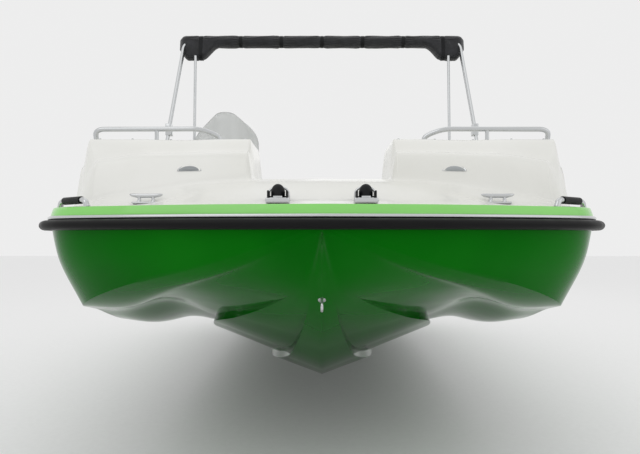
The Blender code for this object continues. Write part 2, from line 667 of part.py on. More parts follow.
def wheel_mesh_ring(name, axis):
    """A steering wheel: rim ring, three spokes and a hub, on its own axis."""
    turned = axis.to_track_quat("Z", "Y").to_matrix().to_4x4()
    place = Matrix.Translation(WHEEL_CENTRE) @ turned
    around = np.linspace(0, 2 * pi, 33)[:-1]
    section = np.linspace(0, 2 * pi, 9)[:-1]
    points = []
    faces = []
    for a in around:
        for b in section:
            radius = WHEEL_RADIUS + .014 * cos(b)
            points.append(tuple(place @ Vector((radius * cos(a), radius * sin(a), .014 * sin(b)))))
    for i in range(32):
        for j in range(8):
            n = (i + 1) % 32
            m = (j + 1) % 8
            faces.append((i * 8 + j, n * 8 + j, n * 8 + m, i * 8 + m))
    rim = mesh_object(name, points, faces, black_plastic(), 60)
    unite(rim, rod("wheel_hub", WHEEL_CENTRE - axis * .03, WHEEL_CENTRE + axis * .012, .035,
                   black_plastic(), 20))
    for k in range(3):
        a = 2 * pi * k / 3 + pi / 2
        tip = place @ Vector((WHEEL_RADIUS * cos(a), WHEEL_RADIUS * sin(a), 0))
        unite(rim, rod("wheel_spoke_%d" % k, WHEEL_CENTRE, tip, .011, stainless(), 10))
    return rim


def build_cushions():
    side = COCKPIT_SIDE - .006
    lip = SEAT_TOP_Z + .001
    top = lip + CUSHION_THICKNESS
    front = BOW_Y + 1.02
    walk = WALKWAY_WIDTH / 2 + .004
    b = BACKREST_THICKNESS
    aft_z = SEAT_TOP_Z - .059
    aft_y = COCKPIT_AFT_Y
    soft = [
        ("bow_cushion_port", (walk, front + .16, lip), (side - .02, -.44, top)),
        ("bow_cushion_starboard", (-side + .02, front + .16, lip), (-walk, -1.34, top)),
        ("bow_backrest_port", (side - .02 - b, front + .22, top + .012),
         (side - .012, -.44, COAMING_Z - .05)),
        ("bow_backrest_starboard", (-side + .012, front + .22, top + .012),
         (-side + .02 + b, -1.36, COAMING_Z - .05)),
        ("console_backrest", (-side + .13, -1.315, top + .012), (-walk - .02, -1.215, CONSOLE_Z - .06)),
        ("aft_cushion", (-side + .01, aft_y - .60, aft_z),
         (side - .01, aft_y - .02, aft_z + CUSHION_THICKNESS)),
        ("aft_backrest", (-side + .01, aft_y - .13, aft_z + .10), (side - .01, aft_y - .02, .86)),
        ("side_cushion", (side - .509, .0, aft_z), (side - .01, aft_y - .615, aft_z + CUSHION_THICKNESS)),
        ("side_backrest", (side - .01 - b, .02, aft_z + .10),
         (side - .004, aft_y - .15, COAMING_Z - .06))]
    for name, low, high in soft:
        box(name, low, high, seat_vinyl(), .022, 2)


# ---- canopy -------------------------------------------------------------------------------------
def build_canopy():
    hinge = Vector((0, HINGE_Y, HINGE_Z))
    up = (CANOPY_TOP - hinge).normalized()
    reach = (CANOPY_TOP - hinge).length
    wide = CANOPY_WIDE

    def place(x, along, off=0.0):
        aside = Vector((0, -up.z, up.y))
        return Vector((x, 0, 0)) + hinge + up * along + aside * off

    main_route = [place(CANOPY_X, -.008), place(wide, reach), place(-wide, reach),
                  place(-CANOPY_X, -.008)]
    tube("bimini_main_bow", main_route, CANOPY_TUBE_RADIUS, stainless(), .12, 2, 5)
    pivot = .30
    off = .032
    route = [place(CANOPY_X + .006, pivot, off * .9), place(wide - .004, reach - .012, off),
             place(-wide + .004, reach - .012, off), place(-CANOPY_X - .006, pivot, off * .9)]
    sleeves = {"main": [main_route[0] - up * .03, *main_route, main_route[-1] - up * .03],
               "second": [route[0] - up * .03, *route, route[-1] - up * .03]}
    tube("bimini_second_bow", route, CANOPY_TUBE_RADIUS * .9, stainless(), .12, 2, 5)
    for side, word in ((1, "port"), (-1, "starboard")):
        a = place(side * (CANOPY_X + .006), pivot - .03, 0)
        jaw = box("bimini_jaw_" + word, (a.x - .02, a.y - .03, a.z - .02),
                  (a.x + .02, a.y + .03, a.z + .065), black_plastic(), .004, 1)
        for other in ("bimini_main_bow", "bimini_second_bow"):
            bore = CANOPY_TUBE_RADIUS * (1 if "main" in other else .9) + 2 * GAP
            sleeve = tube("jaw_bore_%s_%s" % (word, other[7:11]),
                          sleeves["main" if "main" in other else "second"],
                          bore, black_plastic(), .12, 2, 5)
            cut(jaw, sleeve)
    sections = []
    for x in np.linspace(-wide - .03, wide + .03, 23):
        out = abs(x) - wide
        droop = .11 * smoothstep((out + .285) / .14) * (1 - .45 * smoothstep((out + .045) / .075))
        r = .048 * (1 - .25 * smoothstep((out + .025) / .055))
        c = place(x, reach - .012, off * .5)
        ring = []
        for k in range(14):
            a = 2 * pi * k / 14
            dy = r * 1.1 * cos(a)
            dz = r * sin(a) - (droop if sin(a) < -.1 else 0)
            ring.append((x, c.y + dy - droop * .2 * (sin(a) < -.1), c.z + dz))
        sections.append(np.array(ring))
    roll = loft("bimini_canvas", sections, canvas(), 60)
    for number, (path, radius) in enumerate(((main_route, CANOPY_TUBE_RADIUS),
                                             (route, CANOPY_TUBE_RADIUS * .9))):
        cut(roll, tube("canvas_bore_%d" % number, path, radius + .001, canvas(), .12, 2, 5))
    for side, word in ((1, "port"), (-1, "starboard")):
        foot = Vector((side * BRACE_X, BRACE_FOOT_Y, HINGE_Z))
        target = place(side * BRACE_X, reach * .87)
        rod("bimini_brace_" + word, foot - (target - foot).normalized() * .012, target,
            CANOPY_TUBE_RADIUS * .9, stainless(), 10)
        x = side * CANOPY_X
        plate = box("canopy_hinge_" + word, (x - .035, HINGE_Y - .04, COAMING_Z + GAP),
                    (x + .035, HINGE_Y + .04, COAMING_Z + .008), stainless(), .002, 1)
        for end in (-1, 1):
            unite(plate, box("cheek_%s_%d" % (word, end),
                             (x + end * .022 - .004, HINGE_Y - .02, COAMING_Z + .004),
                             (x + end * .022 + .004, HINGE_Y + .02, COAMING_Z + .056), stainless()))
        x = side * BRACE_X
        unite(plate, box("brace_plate_" + word, (x - .03, HINGE_Y + .03, COAMING_Z + GAP),
                         (x + .03, BRACE_FOOT_Y + .035, COAMING_Z + .007), stainless()))
        for end in (-1, 1):
            unite(plate, box("brace_cheek_%s_%d" % (word, end),
                             (x + end * .021 - .004, BRACE_FOOT_Y - .02, COAMING_Z + .004),
                             (x + end * .021 + .004, BRACE_FOOT_Y + .02, COAMING_Z + .054), stainless()))


# ---- stern --------------------------------------------------------------------------------------
def build_stern():
    inner = MOTOR_WELL_WIDTH / 2 + .05
    for side, word in ((1, "port"), (-1, "starboard")):
        xs = sorted((side * inner, side * (HALF_BEAM - .16)))
        box("swim_platform_" + word, (xs[0], TRANSOM_Y + .001, PLATFORM_Z - PLATFORM_THICKNESS),
            (xs[1], TRANSOM_Y + PLATFORM_LENGTH, PLATFORM_Z), white_gelcoat(), .02, 2)
    edge = TRANSOM_Y + PLATFORM_LENGTH + LADDER_OUT
    z = PLATFORM_Z + LADDER_UP
    x0 = LADDER_X - LADDER_WIDTH / 2
    x1 = LADDER_X + LADDER_WIDTH / 2
    frame = tube("boarding_ladder", [(x0, edge, z), (x0, edge - .36, z), (x1, edge - .36, z),
                                     (x1, edge, z)], .0125, stainless(), .05)
    for k in range(3):
        y = edge - .10 - .105 * k
        unite(frame, rod("ladder_rung_%d" % k, (x0 + .004, y, z), (x1 - .004, y, z), .0105, stainless(),
                         12))
    unite(frame, rod("ladder_axle", (x0 - .016, edge - .003, z), (x1 + .016, edge - .003, z), .0095,
                     stainless(), 12))
    for k, x in enumerate((x0 - .030, x1 + .030)):
        lug = box("ladder_lug_%d" % k, (x - .008, edge - .05, PLATFORM_Z - .02),
                  (x + .008, edge + .018, z + .018),
                  stainless(), .003, 1)
        unite(bpy.data.objects["swim_platform_port"], lug)
    box("anchor_locker_lid", (-ANCHOR_HALF, ANCHOR_Y0, ANCHOR_Z),
        (ANCHOR_HALF, ANCHOR_Y1, ANCHOR_Z + .055), white_gelcoat(), .008, 2)
    box("ski_locker_lid", (-SKI_HALF, SKI_Y0, SOLE_Z - .0155), (SKI_HALF, SKI_Y1, SOLE_Z),
        white_gelcoat())


def build_outboard():
    y = TRANSOM_Y + .012
    clamp = box("outboard_clamp", (-.11, TRANSOM_Y + .001, -.10),
                (.11, TRANSOM_Y + .022, MOTOR_WELL_Z + .03), motor_paint(), .004, 1)
    for end in (-1, 1):
        cheek = profile_solid("clamp_cheek_%d" % end, end * .095 - .009, end * .095 + .009,
                              [(y, -.08), (y + .07, -.02), (TILT_Y + .028, TILT_Z + .02),
                               (TILT_Y, TILT_Z + .035),
                               (y, TILT_Z + .02)], motor_paint())
        unite(clamp, cheek)
    swivel = rod("outboard_swivel", (-.080, TILT_Y, TILT_Z), (.080, TILT_Y, TILT_Z), .022, motor_paint(),
                 20)
    unite(swivel, rod("swivel_tube", (0, STEER_Y, -.06), (0, STEER_Y, TILT_Z + .02), .042, motor_paint(),
                      20))
    unite(swivel, box("swivel_web", (-.03, TILT_Y, TILT_Z - .05), (.03, STEER_Y, TILT_Z + .015),
                      motor_paint()))
    mid = []
    for z, front, back, half in ((.40, .08, .42, .12), (TILT_Z + .065, .02, .34, .10),
                                 (TILT_Z + .04, -.055, .30, .075),
                                 (.1, -.055, .26, .065), (-.20, -.055, .23, .05), (-.27, .0, .30, .055)):
        mid.append(oval(STEER_Y, z, front, back, half))
    loft("outboard_midsection", mid[::-1], motor_paint(), 40)
    lower = []
    for z, front, back, half in ((-.272, .00, .30, .052), (-.284, -.0, .27, .03), (-.32, .02, .19, .026),
                                 (-.40, .02, .19, .026)):
        lower.append(oval(STEER_Y, z, front, back, half))
    gear = loft("lower_unit", lower[::-1], motor_paint(), 40)
    gear_rings = ((-.12, .008), (-.08, .035), (0, .05), (.12, .053), (.19, .048))
    gear_case = [ring_at(STEER_Y + back, PROP_Z, radius) for back, radius in gear_rings]
    unite(gear, loft("gear_case", gear_case, motor_paint(), 40))
    unite(gear, oval_loft("gear_neck", ((-.39, .02, .19, .024), (-.45, .03, .17, .024))))
    skeg = [(STEER_Y - .03, PROP_Z - .03), (STEER_Y + .13, PROP_Z - .03),
            (STEER_Y + .17, PROP_Z - .17), (STEER_Y + .09, PROP_Z - .17)]
    unite(gear, profile_solid("skeg", -.009, .009, skeg, motor_paint()))
    hub_y = STEER_Y + .207
    hub = loft("propeller", [ring_at(hub_y, PROP_Z, .046), ring_at(hub_y + .10, PROP_Z, .042)],
               stainless(), 40)
    for k in range(3):
        unite(hub, blade(k, hub_y))
    cowl = []
    for z, front, back, half in ((.405, .10, .44, .15), (.46, .13, .47, .175), (.62, .14, .47, .18),
                                 (.78, .13, .44, .17),
                                 (.88, .08, .38, .14), (.915, .0, .28, .09)):
        cowl.append(oval(STEER_Y, z, front, back, half))
    shell = loft("outboard_cowling", cowl, motor_paint(), 50)
    room = [oval(STEER_Y, z, f - .012, b - .012, h - .012) for z, f, b, h in
            ((.39, .10, .44, .15), (.46, .13, .47, .175), (.62, .14, .47, .18), (.78, .13, .44, .17),
             (.87, .08, .38, .14))]
    cut(shell, loft("cowl_room", room, motor_paint()))
    box("powerhead", (-.10, STEER_Y - .02, .415), (.10, STEER_Y + .30, .74), motor_paint(), .02, 1)


def oval(y, z, front, back, half, count=20):
    """A horizontal oval: front and back reaches from y, and a half width."""
    ring = []
    for k in range(count):
        a = 2 * pi * k / count
        reach = (back + front) / 2
        middle = y + (back - front) / 2
        ring.append((half * np.sign(sin(a)) * abs(sin(a)) ** .8,
                     middle + reach * np.sign(cos(a)) * abs(cos(a)) ** .8, z))
    return np.array(ring)


def oval_loft(name, rows):
    return loft(name, [oval(STEER_Y, z, -f, b, h) for z, f, b, h in rows], motor_paint(), 40)


def ring_at(y, z, radius, count=20):
    return np.array([(radius * cos(2 * pi * k / count), y,
                      z + radius * sin(2 * pi * k / count)) for k in range(count)])


def blade(number, hub_y):
    """One propeller blade: a pitched, rounded plate that twists from root to tip."""
    turn = Matrix.Rotation(2 * pi * number / 3, 3, "Y")
    sections = []
    for radius, chord, pitch in ((.03, .05, 62), (.09, .11, 48), (.14, .12, 38), (.168, .05, 34)):
        a = radians(pitch)
        ring = []
        for u, v in ((-1, 0), (-.5, 1), (.5, 1), (1, 0), (.5, -1), (-.5, -1)):
            local = Vector((u * chord / 2, v * .004, 0))
            ring.append(turn @ Vector((local.x * cos(a) - local.y * sin(a),
                                       local.x * sin(a) + local.y * cos(a), radius)))
        sections.append(np.array([(p.x, hub_y + .05 + p.y, PROP_Z + p.z) for p in ring]))
    return loft("blade_%d" % number, sections, stainless(), 60)


def main():
    reset_scene()
    build_hull()
    build_liner()
    build_rub_rail()
    build_deck()
    build_bow_fittings()
    build_rails()
    build_helm()
    build_cushions()
    build_canopy()
    build_stern()
    build_outboard()


main()
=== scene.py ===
"""A green and white deck boat, seen from its bow, with the looks of each moulding, fitting and cushion."""
import bpy
import bmesh
import numpy as np
from math import cos, pi, radians, sin
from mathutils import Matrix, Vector


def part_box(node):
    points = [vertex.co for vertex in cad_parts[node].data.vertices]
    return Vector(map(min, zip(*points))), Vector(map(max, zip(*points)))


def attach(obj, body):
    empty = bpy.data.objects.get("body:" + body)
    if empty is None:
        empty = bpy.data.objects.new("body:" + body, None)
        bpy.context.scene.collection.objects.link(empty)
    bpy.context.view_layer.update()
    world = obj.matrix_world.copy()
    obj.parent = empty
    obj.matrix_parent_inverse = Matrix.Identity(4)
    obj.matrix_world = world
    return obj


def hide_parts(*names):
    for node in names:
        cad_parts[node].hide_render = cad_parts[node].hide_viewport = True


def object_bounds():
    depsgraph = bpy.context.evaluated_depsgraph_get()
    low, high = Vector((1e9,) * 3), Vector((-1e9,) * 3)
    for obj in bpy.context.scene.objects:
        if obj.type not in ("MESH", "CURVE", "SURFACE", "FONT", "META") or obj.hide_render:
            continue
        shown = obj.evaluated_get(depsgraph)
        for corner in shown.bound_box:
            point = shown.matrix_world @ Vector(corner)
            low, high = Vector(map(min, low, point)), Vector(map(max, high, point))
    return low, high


bl_info = {
    "name": "Deck boat",
    "version": (1, 0, 0),
    "blender": (4, 5, 0),
    "location": "View3D > Sidebar > Boat",
    "description": "Builds a deck boat's finished surfaces around its packed frame",
    "category": "Add Mesh",
}

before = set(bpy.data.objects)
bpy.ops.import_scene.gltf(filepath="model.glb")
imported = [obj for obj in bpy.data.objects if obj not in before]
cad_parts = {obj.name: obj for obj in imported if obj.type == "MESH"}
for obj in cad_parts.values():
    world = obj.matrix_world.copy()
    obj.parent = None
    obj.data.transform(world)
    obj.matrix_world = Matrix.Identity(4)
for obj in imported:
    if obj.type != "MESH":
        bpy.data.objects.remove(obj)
CAD_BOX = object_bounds()
HULL_LOW, HULL_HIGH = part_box("hull")
RAIL_LOW, RAIL_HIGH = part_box("rub_rail")
DECK_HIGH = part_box("deck")[1]

BOW_Y = HULL_LOW.y
TRANSOM_Y = HULL_HIGH.y
SHEER_Z = HULL_HIGH.z
KEEL_Z = HULL_LOW.z
HALF_BEAM = round(HULL_HIGH.x + .033, 4)
COAMING_Z = DECK_HIGH.z
GAP = .0003
SIDES = ("port", "starboard")


# ---- materials ----------------------------------------------------------------------------------
def linear(code):
    """An sRGB hex value as linear RGBA."""
    parts = [int(code[i:i + 2], 16) / 255 for i in (1, 3, 5)]
    return [p / 12.92 if p <= .04045 else ((p + .055) / 1.055) ** 2.4 for p in parts] + [1.0]


def add(tree, kind, settings=None, links=None):
    """Adds a node, sets its properties or sockets by name, and links sockets from others."""
    made = tree.nodes.new(kind)
    for key, value in (settings or {}).items():
        if isinstance(key, str) and hasattr(made, key):
            setattr(made, key, value)
        else:
            made.inputs[key].default_value = value
    for key, source in (links or {}).items():
        tree.links.new(source, made.inputs[key])
    return made


def start(name, colour, roughness, metallic=0.0, **sockets):
    """A material with its Principled shader, and the tree and shader to work on."""
    made = bpy.data.materials.new(name)
    made.use_nodes = True
    shader = made.node_tree.nodes["Principled BSDF"]
    shader.inputs["Base Color"].default_value = linear(colour)
    shader.inputs["Roughness"].default_value = roughness
    shader.inputs["Metallic"].default_value = metallic
    for key, value in sockets.items():
        shader.inputs[key.replace("_", " ")].default_value = value
    return made, made.node_tree, shader


def noise(tree, scale, detail=2.0, stretch=(1, 1, 1), roughness=.5):
    """Noise on Object coordinates in metres; stretch multiplies each axis."""
    where = add(tree, "ShaderNodeTexCoord")
    sized = add(tree, "ShaderNodeMapping", {"Scale": stretch}, {"Vector": where.outputs["Object"]})
    return add(tree, "ShaderNodeTexNoise", {"Scale": scale, "Detail": detail, "Roughness": roughness},
               {"Vector": sized.outputs["Vector"]})


def vary(tree, shader, socket, source, low, high):
    """Maps a pattern onto a number socket or, for colours, blends two hex values."""
    if isinstance(low, str):
        ramp = add(tree, "ShaderNodeValToRGB", links={"Fac": source})
        ramp.color_ramp.elements[0].color = linear(low)
        ramp.color_ramp.elements[1].color = linear(high)
        ramp.color_ramp.elements[0].position = .3
        ramp.color_ramp.elements[1].position = .7
        tree.links.new(ramp.outputs["Color"], shader.inputs[socket])
    else:
        ranged = add(tree, "ShaderNodeMapRange",
                     {"From Min": .3, "From Max": .7, "To Min": low, "To Max": high},
                     {"Value": source})
        tree.links.new(ranged.outputs["Result"], shader.inputs[socket])


def bump(tree, shader, height, distance, strength=1.0):
    """A height pattern, in metres of depth, on the shader's normal."""
    raised = add(tree, "ShaderNodeBump", {"Strength": strength, "Distance": distance}, {"Height": height})
    tree.links.new(raised.outputs["Normal"], shader.inputs["Normal"])
    return raised


def gelcoat(name, low, high, roughness, gloss=.5, ripple=.00012):
    """Sprayed polyester gel coat over glass laminate: deep gloss, a faint long ripple and small haze."""
    made, tree, shader = start(name, low, roughness, Specular_IOR_Level=gloss)
    shader.inputs["IOR"].default_value = 1.53
    tone = noise(tree, 1.4, 3)
    vary(tree, shader, "Base Color", tone.outputs["Fac"], low, high)
    haze = noise(tree, 9, 4)
    vary(tree, shader, "Roughness", haze.outputs["Fac"], roughness * .7, roughness * 1.5)
    wave = noise(tree, 6, 1)
    bump(tree, shader, wave.outputs["Fac"], ripple * 10, .5)
    return made


def hull_gelcoat(low, high):
    """Green polyester gel coat, sprayed in a mould: glossy and deep at the sides, with painted shade that
    darkens it towards the keel.
    """
    made = gelcoat("green_polyester_gelcoat", low, high, .11, .3)
    tree = made.node_tree
    shader = tree.nodes["Principled BSDF"]
    # Painted shade: below about half a metre the base colour fades towards #022003 at the keel, standing in
    # for the shade under the hull; noise makes the painted shade's edge wavy.
    where = add(tree, "ShaderNodeTexCoord")
    axes = add(tree, "ShaderNodeSeparateXYZ", links={0: where.outputs["Object"]})
    shade_edge_noise = noise(tree, 2.5, 4)
    wavy = add(tree, "ShaderNodeMath", {"operation": "MULTIPLY_ADD", 1: .12},
               {0: shade_edge_noise.outputs["Fac"], 2: axes.outputs["Z"]})
    rise = add(tree, "ShaderNodeMapRange", {"From Min": -.30, "From Max": .52},
               {"Value": wavy.outputs["Value"]})
    toned = shader.inputs["Base Color"].links[0].from_socket
    mixed = add(tree, "ShaderNodeMix", {"data_type": "RGBA"}, {0: rise.outputs["Result"], 7: toned})
    mixed.inputs[6].default_value = linear("#022003")
    tree.links.new(mixed.outputs[2], shader.inputs["Base Color"])
    shader.inputs["Specular Tint"].default_value = linear("#58B058")
    shader.inputs["Specular IOR Level"].default_value = .2
    return made


def nonskid(low, high):
    """White gel coat moulded with a diamond tread about 4 mm across, drawn at 6 mm so that it shows."""
    made, tree, shader = start("moulded_nonskid_gelcoat", low, .42)
    where = add(tree, "ShaderNodeTexCoord")
    cells = add(tree, "ShaderNodeTexVoronoi", {"Scale": 160.0}, {"Vector": where.outputs["Object"]})
    patch = noise(tree, 5, 3)
    vary(tree, shader, "Base Color", patch.outputs["Fac"], low, high)
    bump(tree, shader, cells.outputs["Distance"], .0012, .6)
    return made


def polished_stainless():
    """Bent stainless tube, machine polished: mirror-like with faint lengthwise draw lines."""
    made, tree, shader = start("polished_stainless_steel", "#C9CBCC", .12, 1.0)
    draw = noise(tree, 60, 2, (1, 1, 6))
    vary(tree, shader, "Roughness", draw.outputs["Fac"], .07, .22)
    bump(tree, shader, draw.outputs["Fac"], .0002, .25)
    return made


def black_moulding(name, low, high, roughness, grain, depth):
    """Moulded black vinyl or nylon with a fine grain, greyer where it has been rubbed."""
    made, tree, shader = start(name, low, roughness, Specular_IOR_Level=.18)
    rubbed = noise(tree, 14, 4)
    vary(tree, shader, "Base Color", rubbed.outputs["Fac"], low, high)
    fine = noise(tree, grain, 2)
    vary(tree, shader, "Roughness", rubbed.outputs["Fac"], roughness * .8, roughness * 1.25)
    bump(tree, shader, fine.outputs["Fac"], depth, .6)
    return made


def upholstery(name, low, high):
    """Marine vinyl: embossed leather-like grain about 2 mm, soft sheen, slight toning by use."""
    made, tree, shader = start(name, low, .48, Sheen_Weight=.15)
    where = add(tree, "ShaderNodeTexCoord")
    grain = add(tree, "ShaderNodeTexVoronoi", {"Scale": 420.0, "feature": "SMOOTH_F1"},
                {"Vector": where.outputs["Object"]})
    wear = noise(tree, 4, 4)
    vary(tree, shader, "Base Color", wear.outputs["Fac"], low, high)
    vary(tree, shader, "Roughness", wear.outputs["Fac"], .40, .56)
    bump(tree, shader, grain.outputs["Distance"], .0007, .5)
    return made


def boot_canvas(low, high):
    """Solution-dyed acrylic canvas: plain weave, threads drawn 1.5 mm apart, matt with pale lint."""
    made, tree, shader = start("woven_acrylic_canvas", low, .88, Sheen_Weight=.35, Sheen_Roughness=.5)
    where = add(tree, "ShaderNodeTexCoord")
    weave = [add(tree, "ShaderNodeTexWave", {"Scale": 105.0, "bands_direction": way, "Distortion": .4},
                 {"Vector": where.outputs["Object"]}) for way in ("X", "DIAGONAL")]
    crossed = add(tree, "ShaderNodeMath", {"operation": "MAXIMUM"},
                  {0: weave[0].outputs["Fac"], 1: weave[1].outputs["Fac"]})
    lint = noise(tree, 18, 5)
    vary(tree, shader, "Base Color", lint.outputs["Fac"], low, high)
    bump(tree, shader, crossed.outputs["Value"], .0008, .7)
    return made


def smoked_acrylic(colour):
    """Thermoformed acrylic sheet, lightly smoked, with fine wipe marks in the gloss."""
    made, tree, shader = start("smoked_cast_acrylic", colour, .06, Transmission_Weight=.35, Alpha=.62)
    shader.inputs["IOR"].default_value = 1.49
    wiped = noise(tree, 22, 3, (1, 1, .3))
    vary(tree, shader, "Roughness", wiped.outputs["Fac"], .04, .16)
    return made


def motor_enamel(low, high):
    """Baked enamel on cast aluminium with metallic flake: dark, glossy, orange-peel surface."""
    made, tree, shader = start("baked_marine_enamel", low, .22, .2, Coat_Weight=.7, Coat_Roughness=.05)
    flake = noise(tree, 900, 1)
    vary(tree, shader, "Base Color", flake.outputs["Fac"], low, high)
    peel = noise(tree, 140, 1)
    bump(tree, shader, peel.outputs["Fac"], .0002, .4)
    return made


def cast_block():
    """Sand-cast metal with a coarse matt skin."""
    made, tree, shader = start("sand_cast_metal", "#54565A", .62, .8)
    rough = noise(tree, 260, 4)
    vary(tree, shader, "Roughness", rough.outputs["Fac"], .5, .75)
    bump(tree, shader, rough.outputs["Fac"], .0006, .7)
    return made


def studio_paper():
    """Matt background paper with barely visible fibre mottling."""
    made, tree, shader = start("matt_studio_paper", "#F4F4F4", .9)
    fibre = noise(tree, 30, 3)
    vary(tree, shader, "Base Color", fibre.outputs["Fac"], "#F3F3F3", "#F6F6F6")
    return made


MATERIALS = {}


def paint(item, *names):
    """Gives a piece its materials by their short names."""
    item.data.materials.clear()
    for name in names:
        item.data.materials.append(MATERIALS[name])
    return item


def make_materials(look):
    """Every material, under its short name."""
    def code(colour):
        return "#%02X%02X%02X" % tuple(round(255 * c) for c in colour)

    hull = code(look.hull_colour)
    band = code(look.band_colour)
    MATERIALS.update(
        green=hull_gelcoat(hull, "#0A6B0C"),
        # The band is a real green stripe; its light green tone is partly a painted reflection.
        band=gelcoat("band_gelcoat_with_painted_reflection", band, "#86CF6C", .10),
        white=gelcoat("white_polyester_gelcoat", "#EAEAE6", "#E2E2DC", .16),
        tread=nonskid("#E6E6E0", "#DADAD2"),
        steel=polished_stainless(),
        rail=black_moulding("extruded_black_vinyl", "#030304", "#0A0A0B", .42, 300, .0003),
        nylon=black_moulding("moulded_black_nylon", "#101112", "#1D1E20", .45, 700, .0003),
        vinyl=upholstery("marine_vinyl_ivory", "#E9E6DD", "#DCD8CC"),
        piping=upholstery("marine_vinyl_green_piping", "#1E7A1F", "#17661A"),
        canvas=boot_canvas("#141517", "#25262A"),
        acrylic=smoked_acrylic("#C9CCCA"),
        lens=gelcoat("clear_polycarbonate_lens", "#8C9092", "#A7ABAC", .06),
        enamel=motor_enamel("#1B1D21", "#2B2E34"),
        block=cast_block(),
        floor=studio_paper(),
    )


# ---- surfaces -----------------------------------------------------------------------------------
def surface(name, points, faces, material, smooth=True, angle=40):
    mesh = bpy.data.meshes.new(name)
    mesh.from_pydata(points.tolist() if hasattr(points, "tolist") else points, [], faces)
    mesh.validate()
    item = bpy.data.objects.new(name, mesh)
    bpy.context.scene.collection.objects.link(item)
    paint(item, material)
    weld(mesh)
    if smooth:
        mesh.shade_smooth()
        mesh.set_sharp_from_angle(angle=radians(angle))
    return item


def weld(mesh, distance=.00005):
    """Merges doubles and turns the faces outwards."""
    work = bmesh.new()
    work.from_mesh(mesh)
    bmesh.ops.remove_doubles(work, verts=work.verts, dist=distance)
    bmesh.ops.dissolve_degenerate(work, edges=work.edges, dist=distance)
    bmesh.ops.recalc_face_normals(work, faces=work.faces)
    work.to_mesh(mesh)
    work.free()


def grid_faces(rows, columns, close_rows=False, close_columns=False, offset=0):
    """Quads between the points of a grid stored row by row."""
    r = np.arange(rows if close_rows else rows - 1)[:, None]
    c = np.arange(columns if close_columns else columns - 1)[None, :]
    n = (r + 1) % rows
    m = (c + 1) % columns
    quads = np.stack([r * columns + c + 0 * n, r * columns + m + 0 * n, n * columns + m,
                      n * columns + c], axis=-1)
    return (quads.reshape(-1, 4) + offset).tolist()


def sweep(name, rings, material, closed_path=False, angle=40):
    """Closed rings along a path, with both ends capped unless the path closes."""
    rings = np.asarray(rings, dtype=float)
    rows, columns = rings.shape[:2]
    faces = grid_faces(rows, columns, closed_path, True)
    if not closed_path:
        faces.append(list(range(columns)))
        faces.append(list(range((rows - 1) * columns, rows * columns)))
    return surface(name, rings.reshape(-1, 3), faces, material, True, angle)


def unit(vectors):
    """Each vector divided by its own length."""
    return vectors / np.maximum(np.linalg.norm(vectors, axis=-1, keepdims=True), 1e-12)


def rounded_route(corners, bend, steps=9):
    """A route of straight runs whose corners are quadratic arcs that start a bend's length away."""
    corners = [np.array(c, dtype=float) for c in corners]
    points = [corners[0][None]]
    t = np.linspace(0, 1, steps)[:, None]
    for a, b, c in zip(corners, corners[1:], corners[2:]):
        enter = b + unit(a - b) * min(bend, np.linalg.norm(a - b) * .45)
        leave = b + unit(c - b) * min(bend, np.linalg.norm(c - b) * .45)
        points.append((1 - t) ** 2 * enter + 2 * t * (1 - t) * b + t ** 2 * leave)
    points.append(corners[-1][None])
    return np.concatenate(points)


def tube_rings(path, radius, sides=20):
    """Circles across a path: a frame is carried along so that it never twists."""
    path = np.asarray(path, dtype=float)
    along = unit(np.gradient(path, axis=0))
    side = np.zeros_like(path)
    first = np.cross(along[0], (0, 0, 1) if abs(along[0][2]) < .9 else (0, 1, 0))
    side[0] = unit(first)
    for k in range(1, len(path)):
        side[k] = unit(side[k - 1] - along[k] * np.dot(side[k - 1], along[k]))
    other = np.cross(along, side)
    turn = np.linspace(0, 2 * pi, sides, endpoint=False)
    radius = np.broadcast_to(radius, len(path))[:, None, None]
    across = np.cos(turn)[None, :, None] * side[:, None]
    up = np.sin(turn)[None, :, None] * other[:, None]
    return path[:, None] + radius * (across + up)


def tube(name, path, radius, material, sides=20):
    return sweep(name, tube_rings(path, radius, sides), material)


def turned(name, centre, axis, profile, material, sides=40):
    """A profile of (radius, height) pairs spun round an axis; zero radii close the ends."""
    axis = unit(np.array(axis, dtype=float))
    side = unit(np.cross(axis, (1, 0, 0) if abs(axis[0]) < .9 else (0, 1, 0)))
    other = np.cross(axis, side)
    turn = np.linspace(0, 2 * pi, sides, endpoint=False)
    profile = np.array(profile, dtype=float)
    ring = np.cos(turn)[:, None] * side + np.sin(turn)[:, None] * other
    points = np.array(centre) + profile[:, 0, None, None] * ring + profile[:, 1, None, None] * axis
    return sweep(name, np.maximum(points, -1e9), material)


def superoval(centre, half_x, front, back, z, power=.75, count=56):
    """A horizontal superellipse ring: front and back reaches from the centre's y, and a half width."""
    a = np.linspace(0, 2 * pi, count, endpoint=False)
    c = np.sign(np.cos(a)) * np.abs(np.cos(a)) ** power
    s = np.sign(np.sin(a)) * np.abs(np.sin(a)) ** power
    middle = centre + (back - front) / 2
    return np.stack([half_x * s, middle + (back + front) / 2 * c, np.full(count, z)], axis=1)


def smooth_line(controls, count):
    """A Catmull-Rom curve through the control points, evenly spread over their indices."""
    controls = np.asarray(controls, dtype=float)
    padded = np.concatenate([[2 * controls[0] - controls[1]], controls,
                             [2 * controls[-1] - controls[-2]]])
    at = np.linspace(0, len(controls) - 1, count)
    first = np.minimum(at.astype(int), len(controls) - 2)
    t = (at - first).reshape(-1, *[1] * (controls.ndim - 1))
    a, b, c, d = (padded[first + k] for k in range(4))
    return .5 * (2 * b + (c - a) * t + (2 * a - 5 * b + 4 * c - d) * t ** 2
                 + (3 * b - a - 3 * c + d) * t ** 3)


def smoothstep(t):
    """Three t squared less two t cubed, with t held between 0 and 1."""
    t = np.clip(t, 0, 1)
    return t * t * (3 - 2 * t)


